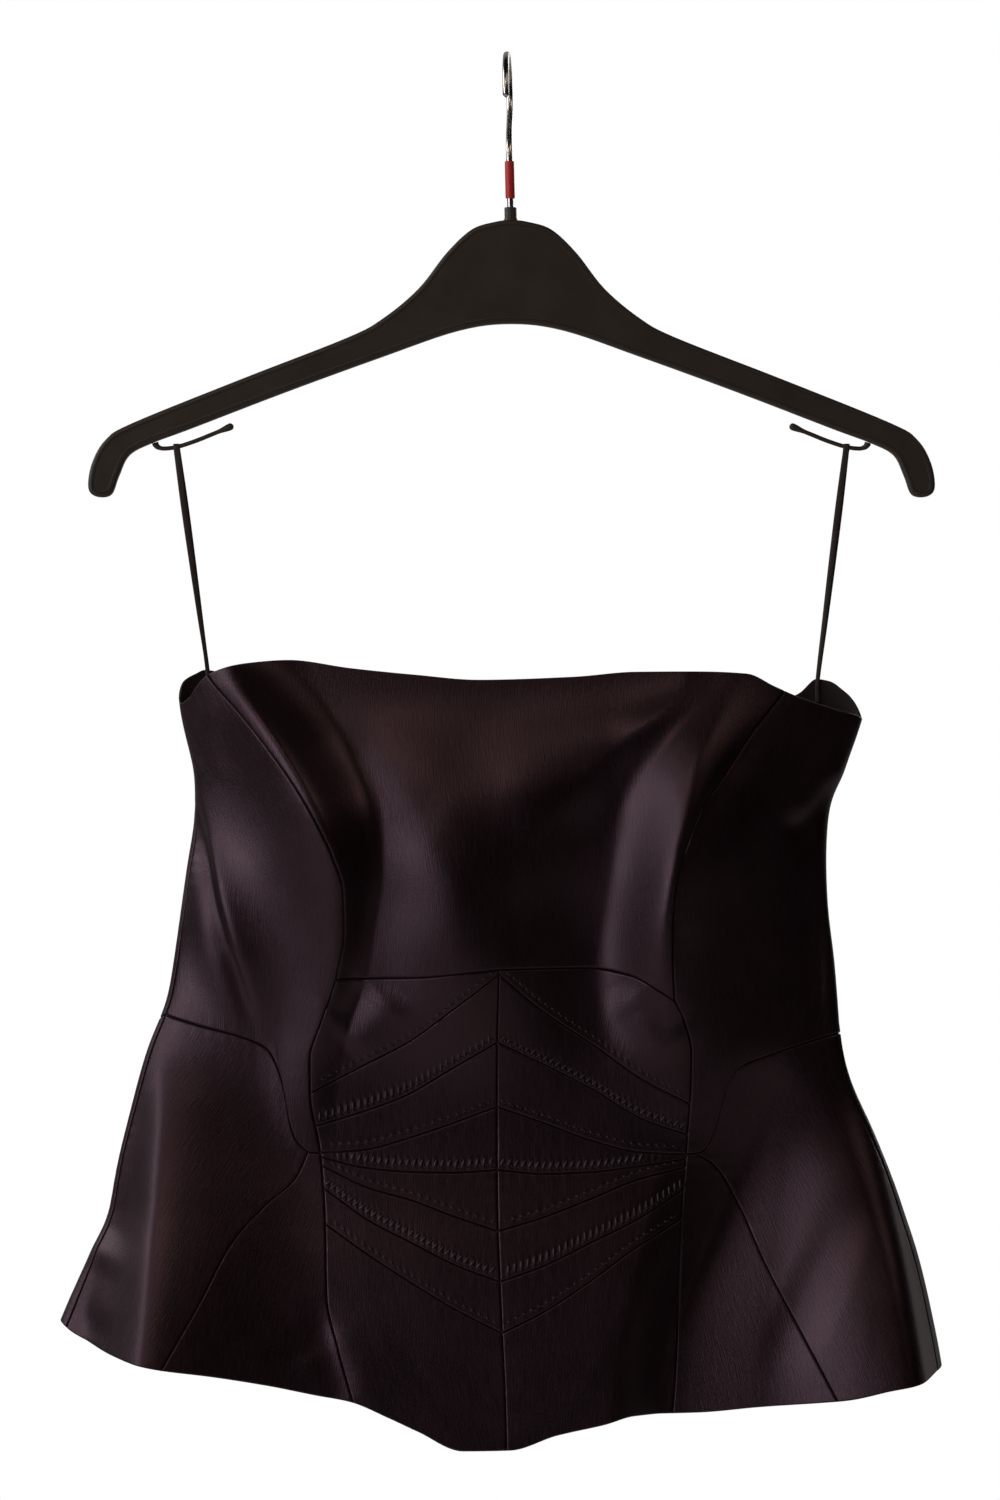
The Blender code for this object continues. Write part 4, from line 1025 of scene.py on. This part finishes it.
# A faint line round each face: how far in from the outline, and how far below the face
faceLine = [(2.15, 0), (2.4, 0.2), (2.55, -0.05), (2.8, 0.05), (3.3, 0.05)]
# The boss round the hook's stem: how far out from the socket, or from the boss, and down
bossInside = [(0, 0.3), (0.3, 0)]
bossOutside = [(-0.5, 0), (-0.12, 0.15), (0, 0.5), (0, 5.5), (1.2, 8.2), (1.2, 16.0)]
hookSet = {"wire": 1.65, "bight": 20.0, "lean": 0.023, "turn": math.radians(3), "upTo": -58,
           "bend": [(0, -50), (1.5, -44), (6.5, -37.5), (13.5, -31.5), (18.3, -25.5)],
           "bightTurn": 190, "bightPoints": 49, "between": 6, "sides": 20, "seat": 1.5}


def hangerPlate():
    # The arms: the outline drawn in step by step and set back or forward, as rings from one
    # face, over its rounded edge and across the thickness, to the other
    s = hangerSet
    half = np.array(hangerOutline, float)
    points = np.concatenate([half, half[-2:0:-1] * [-1, 1]])
    t = np.linspace(0, 1, s["between"], endpoint=False)[None, :, None]
    neighbours = (np.roll(points, k, axis=0)[:, None] for k in (1, 0, -1, -2))
    outline = cubicBetween(*neighbours, t).reshape(-1, 2)
    tangent = unit(np.roll(outline, -1, axis=0) - np.roll(outline, 1, axis=0))
    inward = np.stack([tangent[:, 1], -tangent[:, 0]], -1)
    face, edge = s["thick"] / 2, s["edge"]
    insets = [(edge * (1 - math.cos(a)), face - edge * (1 - math.sin(a)))
              for a in np.radians(s["edgeTurns"])]
    insets += [(inset, face - below) for inset, below in faceLine]
    profile = [(inset, -y) for inset, y in insets[::-1]] + insets
    rings = [np.stack([outline[:, 0] + inward[:, 0] * inset + s["offset"], 0 * outline[:, 0] + y,
                       outline[:, 1] + inward[:, 1] * inset], -1) for inset, y in profile]
    many = len(outline)
    faces = gridFaces(len(rings), many, closed=True)
    ends = [np.arange(many)[None], ((len(rings) - 1) * many + np.arange(many))[::-1][None]]
    return np.concatenate(rings), [faces[:, ::-1]] + [e[:, ::-1] for e in ends]


def joinParts(parts):
    # Several sets of points and faces as one, with the corner numbers moved on
    points, faces, start = [], [], 0
    for made, lists in parts:
        points.append(made)
        faces += [np.asarray(f) + start for f in lists]
        start += len(made)
    return np.concatenate(points), faces


def addHanger():
    # The arms, with the boss that the hook's stem stands in
    s = hangerSet
    ring = [(s["socket"], s["bossTop"] - s["socketDeep"])]
    ring += [(s["socket"] + out, s["bossTop"] - under) for out, under in bossInside]
    ring += [(s["bossRadius"] + out, s["bossTop"] - under) for out, under in bossOutside]
    points, faces = joinParts([hangerPlate(), lathe(ring, hookSet["lean"])])
    made = addMesh("hanger_arms", points, faces, [hangerPlastic], crisp=35)
    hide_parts("hanger_body")
    print("hanger:", len(points), "points")


# One strap finger, from under the arm, past its lowest point, to its tip
fingerSet = {"radius": 1.1, "tip": 1.85, "nub": 7.0, "root": 1.7, "rootLong": 5.0,
             "route": [(181.4, -195.8), (181.0, -196.9), (179.6, -198.2), (176.5, -198.8),
                       (170, -197.9), (161, -195.0), (153, -191.8), (145, -188.5),
                       (141.5, -187.0)]}


def addFingers():
    s = fingerSet
    line = catmull(s["route"], 8)
    run = runAlong(line)
    left = run[-1] - run
    ball = np.sqrt(np.clip(1 - ((left - s["tip"]) / s["tip"]) ** 2, 0.02, 1)) * s["tip"]
    swell = 1 - eased(np.clip(left - s["tip"], 0, None) / s["nub"])
    root = 1 - eased(run / s["rootLong"])
    stem = s["radius"] + (s["tip"] - s["radius"]) * swell + (s["root"] - s["radius"]) * root
    radii = np.where(left < s["tip"], ball, stem)
    for side, sign in (("left", -1), ("right", 1)):
        points = [(hangerSet["offset"] + sign * x, 0, z) for x, z in line]
        made, faces = sweepTube(points, radii)
        piece = addMesh(f"strap_hook_{side}", made, faces, [hangerPlastic])
        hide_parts(f"strap_finger_{side}")
    print("strap fingers made")


def addHook():
    # The wire: its stem, a bend out to the back of the bight, round it, and a rounded tip
    s, h = hookSet, hangerSet
    centre = s["wire"] - s["bight"]
    stem = [(0, h["bossTop"] - h["socketDeep"] + s["seat"]), (0, h["bossTop"]), (0, s["upTo"])]
    angles = np.radians(np.linspace(0, s["bightTurn"], s["bightPoints"]))
    bight = [(s["bight"] * math.cos(a), centre + s["bight"] * math.sin(a)) for a in angles]
    profile = np.concatenate([catmull(stem + s["bend"], s["between"]), bight])
    points = np.stack([-s["lean"] * profile[:, 1] + profile[:, 0] * math.sin(s["turn"]),
                       profile[:, 0] * math.cos(s["turn"]), profile[:, 1]], -1)
    run = runAlong(points)
    left = np.clip((run[-1] - run) / s["wire"], 0, 1)
    radii = s["wire"] * np.sqrt(np.clip(1 - (1 - left) ** 2, 0.04, 1))
    made, faces = sweepTube(points, radii, s["sides"])
    piece = addMesh("hook_chrome", made, faces, [chrome])
    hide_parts("hook_wire")
    print("hook made")


# The sleeve's ends are rounded by steps in from the wall and from the end: one inside, three out
sleeveSet = {"clear": 0.15, "outer": 2.4, "top": -52.5, "low": -71.5, "sides": 32,
             "inside": (0.25, 0.4), "outside": [(0.35, 0), (0.08, 0.12), (0, 0.5)]}


def addSleeve():
    # The red tube on the stem: a wall turned about the stem, with rounded ends
    s = sleeveSet
    inner, outer, top, low = hookSet["wire"] + s["clear"], s["outer"], s["top"], s["low"]
    chamfer, drop = s["inside"]
    profile = [(inner, low + drop), (inner, top - drop), (inner + chamfer, top)]
    profile += [(outer - into, top - end) for into, end in s["outside"]]
    profile += [(outer - into, low + end) for into, end in s["outside"][::-1]]
    profile += [(inner + chamfer, low), (inner, low + drop)]
    made, faces = lathe(profile, hookSet["lean"], s["sides"])
    piece = addMesh("stem_sleeve", made, faces, [redPlastic])
    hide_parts("hook_sleeve")
    print("sleeve made")


loopSet = {"wide": 3.3, "narrow": 0.64, "thick": 0.55, "drop": 11.0, "clear": 0.25, "spread": 0.5,
           "fingerTop": (170.5, -198.0), "fingerClear": 0.4, "square": 0.6, "sides": 12,
           "bow": [(0.25, 0.6), (0.5, 1.0), (0.75, 1.0)], "between": 10, "arcPoints": 13}


def addLoops():
    # Each ribbon runs up from inside its side seam, over its finger and down again. Its
    # section is a flat oval carried along that line, turned from the seam to the finger.
    s = loopSet
    for side, table, right in (("left", sideLeft, False), ("right", sideRight, True)):
        sign = 1 if right else -1
        seam = lambda z: sideTurn(table, z, right)
        top = meet(seam, rim, -320)
        turn = float(seam(top))
        normal = outward(np.array(turn), np.array(top))
        edge = surface(np.array(turn), np.array(top))
        tangent = np.cross(normal, (0, 0, 1))
        inside = clothSet["shellThick"] / 2 + s["clear"] + s["thick"] / 2
        finger = np.array([hangerSet["offset"] + sign * s["fingerTop"][0], 0, s["fingerTop"][1]])
        over = fingerSet["radius"] + s["clear"] * s["fingerClear"] + s["thick"] / 2
        strands = []
        for strand, depth in ((-1, inside + s["thick"] + s["clear"]), (1, inside)):
            foot = edge - normal * depth
            low = foot - np.array([0, 0, s["drop"]])
            high = finger + np.array([0, strand * over, 0])
            bow = np.array([strand * s["spread"], 0, 0])
            bowed = [foot + (high - foot) * t + bow * w for t, w in s["bow"]]
            strands.append(catmull([low, foot] + bowed + [high], s["between"]))
        arc = [finger + over * np.array([0, -math.cos(a), math.sin(a)])
               for a in np.radians(np.linspace(0, 180, s["arcPoints"]))[1:-1]]
        line = np.concatenate([strands[0], arc, strands[1][::-1]])
        level = np.clip((line[:, 2] - top) / (finger[2] - top), 0, 1)[:, None]
        outAtSeam = tangent * (-1 if tangent[0] < 0 else 1)
        width = (1 - level) * outAtSeam + level * np.array([1.0, 0, 0])
        along = unit(np.gradient(line, axis=0))
        width = unit(width - (width * along).sum(1, keepdims=True) * along)
        face = np.cross(along, width)
        many, rows = s["sides"], len(line)
        angle = np.arange(many) * 2 * math.pi / many
        flat = np.sign(np.cos(angle)) * np.abs(np.cos(angle)) ** s["square"] * s["wide"] / 2
        deep = np.sin(angle) * s["thick"] / 2
        taper = s["narrow"] + (1 - s["narrow"]) * level
        made = (line[:, None] + flat[None, :, None] * (width * taper)[:, None]
                + deep[None, :, None] * face[:, None])
        faces = [gridFaces(rows, many, closed=True), np.arange(many)[None],
                 ((rows - 1) * many + np.arange(many))[::-1][None]]
        grain = np.stack([np.broadcast_to(flat, (rows, many)),
                          np.broadcast_to(runAlong(line)[:, None], (rows, many))], -1).reshape(-1, 2)
        piece = addMesh(f"ribbon_{side}", made.reshape(-1, 3), faces, [ribbonSatin], grain=grain)
        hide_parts(f"loop_{side}")
    print("hanging loops made")


def addStage():
    # A pale round floor below, a white surround that the lens sees, and large soft lamps
    s = studioSet
    many = s["floorSides"]
    angle = np.linspace(0, 2 * math.pi, many + 1)[:-1]
    radii = np.array(s["floorRings"])[:, None] * s["floorRadius"] / mm
    points = np.stack([radii * np.cos(angle), radii * np.sin(angle), 0 * radii * angle
                       + s["floorHeight"] / mm], -1).reshape(-1, 3)
    mesh = bpy.data.meshes.new("floor")
    faces = gridFaces(len(radii), many, closed=True).tolist() + [list(range(many))[::-1]]
    mesh.from_pydata((points * mm).tolist(), [], faces)
    floor = bpy.data.objects.new("floor", mesh)
    bpy.context.collection.objects.link(floor)
    look, tree, shader = newLook("pale_floor")
    cloud = addNode(tree, "ShaderNodeTexNoise", {"Scale": 3.0, "Detail": 2.0})
    colour = s["floorColour"]
    dimmed = blend(tree, cloud.outputs[0], [c * s["floorDim"] for c in colour], colour)
    feed(tree, shader, {"Base Color": dimmed, "Roughness": s["floorRough"]})
    mesh.materials.append(look)

    world = bpy.data.worlds.new("studio")
    world.use_nodes = True
    bpy.context.scene.world = world
    tree = world.node_tree
    tree.nodes.clear()
    rays = addNode(tree, "ShaderNodeLightPath")
    way = addNode(tree, "ShaderNodeTexCoord")
    parts = addNode(tree, "ShaderNodeSeparateXYZ", {0: way.outputs["Generated"]})
    behind = ranged(tree, parts.outputs[1], s["wallFrom"], s["wallTo"])
    around = addNode(tree, "ShaderNodeBackground",
                     {"Color": blend(tree, behind, s["ambient"], s["wall"]), "Strength": 1.0})
    seen = addNode(tree, "ShaderNodeBackground", {"Color": (*s["backdrop"], 1), "Strength": 1.0})
    mixed = addNode(tree, "ShaderNodeMixShader", {0: rays.outputs["Is Camera Ray"],
                    1: around.outputs[0], 2: seen.outputs[0]})
    addNode(tree, "ShaderNodeOutputWorld", {"Surface": mixed.outputs[0]})

    for name, place, aim, size, watts, colour in lamps:
        lamp = bpy.data.lights.new(name, "AREA")
        lamp.shape, lamp.size, lamp.size_y = "RECTANGLE", *size
        lamp.energy, lamp.color = watts, colour
        placed = bpy.data.objects.new(name, lamp)
        bpy.context.collection.objects.link(placed)
        placed.location = place
        way = np.array(aim, float) - place
        flat = math.hypot(way[0], way[1])
        placed.rotation_euler = (math.atan2(flat, -way[2]), 0, math.atan2(-way[0], way[1]))
    bpy.context.scene.view_settings.view_transform = "Standard"
    print("stage and lamps set")


halves = {
    "left": {"princess": princessLeft, "side": sideLeft, "fan": fanLeft,
             "waist": waistLeft, "diagonal": diagonalLeft},
    "right": {"princess": princessRight, "side": sideRight, "fan": fanRight,
              "waist": waistRight, "diagonal": diagonalRight},
}
# The centre back's angle, the back waist's height, and heights from which to look for where
# the seams meet the top edge and the hem
centreBack, backWaist = 1.5 * math.pi, -500.0
lookFrom = {"hemPrincess": -682, "hemCentre": -703, "hemSide": -650, "rimPrincess": -315,
            "rimSide": -320}
# The cut of each piece in metres, left and right: its width, its length and its area, seam to
# seam. The front panel is one piece.
pairSizes = {
    "front_band_1": ((0.115, 0.061, 0.0030), (0.120, 0.057, 0.0035)),
    "front_band_2": ((0.115, 0.035, 0.0025), (0.120, 0.035, 0.0023)),
    "front_band_3": ((0.102, 0.033, 0.0021), (0.108, 0.033, 0.0023)),
    "front_band_4": ((0.093, 0.032, 0.0015), (0.100, 0.032, 0.0016)),
    "front_band_5": ((0.096, 0.031, 0.0014), (0.101, 0.031, 0.0014)),
    "front_band_6": ((0.102, 0.026, 0.0018), (0.105, 0.026, 0.0020)),
    "front_band_7": ((0.105, 0.026, 0.0018), (0.110, 0.026, 0.0018)),
    "front_band_8": ((0.105, 0.091, 0.0063), (0.110, 0.099, 0.0074)),
    "side_front": ((0.121, 0.278, 0.0152), (0.114, 0.261, 0.0173)),
    "peplum_outer": ((0.115, 0.178, 0.0137), (0.108, 0.188, 0.0144)),
    "peplum_inner": ((0.099, 0.136, 0.0062), (0.086, 0.151, 0.0065)),
    "back_bodice": ((0.181, 0.180, 0.0287), (0.180, 0.182, 0.0261)),
    "back_peplum": ((0.240, 0.167, 0.0316), (0.249, 0.179, 0.0337)),
}
cutSizes = {f"{kind}_{side}": size for kind, sizes in pairSizes.items()
            for side, size in zip(halves, sizes)}
cutSizes["bodice_front"] = (0.299, 0.187, 0.0348)


def centreSeam(height):
    return seamTurn(centreFront, height)


def heightAt(line, end):
    # Height of a side's start (0) or end (1)
    return float(line(np.array([float(end)]))[0, 1])


def princessOf(side):
    return lambda height: seamTurn(halves[side]["princess"], height)


def buildBands(side):
    # The bands of one half's fan, from the seam under the bust to the hem
    seams = [fanSeam(halves[side], row) for row in range(len(halves[side]["fan"]))]
    princess = princessOf(side)
    outer = princess(meet(princess, hem, lookFrom["hemPrincess"]))
    inner = centreSeam(meet(centreSeam, hem, lookFrom["hemCentre"]))
    seams.append(alongEdge(hem, outer, inner))
    for band, (high, low) in enumerate(zip(seams, seams[1:]), 1):
        ends = [heightAt(line, end) for end in (0, 1) for line in (high, low)]
        sides = (high, low, down(princess, ends[0], ends[1]), down(centreSeam, ends[2], ends[3]))
        cell, edges = (clothSet["bandCell"], ()) if band < len(seams) - 1 else (
            clothSet["frontCell"], ("low",))
        addPanel(f"front_band_{band}_{side}", sides, cell, edges, band)


def buildSides(side):
    # The cup and side in one, the two peplum panels and the two back panels of one half
    tables, cell = halves[side], clothSet["frontCell"]
    right = side == "right"
    princess = princessOf(side)
    flank = lambda height: sideTurn(tables["side"], height, right)
    corner = fanSeam(tables, 3)(np.array([0.0]))[0]
    waistTop, waistEnd = tables["waist"][0][1], tables["waist"][-1]
    waist = route(tables["waist"], first=(float(flank(waistTop)), waistTop))
    toCorner = straight((float(turnOf(*waistEnd)), waistEnd[1]), corner)
    rimPrincess = meet(princess, rim, lookFrom["rimPrincess"])
    rimFlank = meet(flank, rim, lookFrom["rimSide"])
    top = alongEdge(rim, float(flank(rimFlank)), float(princess(rimPrincess)))
    addPanel(f"side_front_{side}", (top, joined(waist, toCorner, 0.92),
             down(flank, rimFlank, waistTop), down(princess, rimPrincess, corner[1])), cell, ("top",))

    hemPrincess = meet(princess, hem, lookFrom["hemPrincess"])
    hemFlank = meet(flank, hem, lookFrom["hemSide"])
    hemDiagonal = float(turnOf(*tables["diagonal"][-1]))
    diagonal = route(tables["diagonal"], last=(hemDiagonal, float(hem(hemDiagonal))))
    outerHem = alongEdge(hem, float(flank(hemFlank)), hemDiagonal)
    innerHem = alongEdge(hem, hemDiagonal, float(princess(hemPrincess)))
    addPanel(f"peplum_outer_{side}", (waist, outerHem, down(flank, waistTop, hemFlank), diagonal),
             cell, ("low",))
    addPanel(f"peplum_inner_{side}", (toCorner, innerHem, diagonal,
             down(princess, corner[1], hemPrincess)), cell, ("low",))

    around = 0.0 if right else 2 * math.pi
    behind = lambda height: flank(height) + around
    middle = lambda height: centreBack + 0 * height
    topBack, lowBack = float(rim(centreBack)), float(hem(centreBack))
    start = float(flank(waistTop)) + around

    def backWaistLine(share):
        height = waistTop + (backWaist - waistTop) * np.sin(math.pi / 2 * share)
        return np.stack([start + (centreBack - start) * share, height], -1)

    cell = clothSet["backCell"]
    addPanel(f"back_bodice_{side}", (alongEdge(rim, float(behind(rimFlank)), centreBack), backWaistLine,
             down(behind, rimFlank, waistTop), down(middle, topBack, backWaist)), cell, ("top",))
    addPanel(f"back_peplum_{side}", (backWaistLine, alongEdge(hem, float(behind(hemFlank)), centreBack),
             down(behind, waistTop, hemFlank), down(middle, backWaist, lowBack)), cell, ("low",))
    return rimPrincess


def buildCloth():
    rims, seams, under = {}, {}, {}
    for side in halves:
        buildBands(side)
        rims[side], seams[side] = buildSides(side), princessOf(side)
        under[side] = fanSeam(halves[side], 0)
    top = alongEdge(rim, *(float(seams[side](rims[side])) for side in halves))
    low = joined(under["left"], lambda share: under["right"](1 - share), 0.5)
    flanks = [down(seams[side], rims[side], heightAt(under[side], 0)) for side in halves]
    addPanel("bodice_front", (top, low, *flanks), clothSet["frontCell"], ("top",))
    print("cloth made")


addStage()
buildCloth()
addLoops()
addHanger()
addFingers()
addHook()
addSleeve()
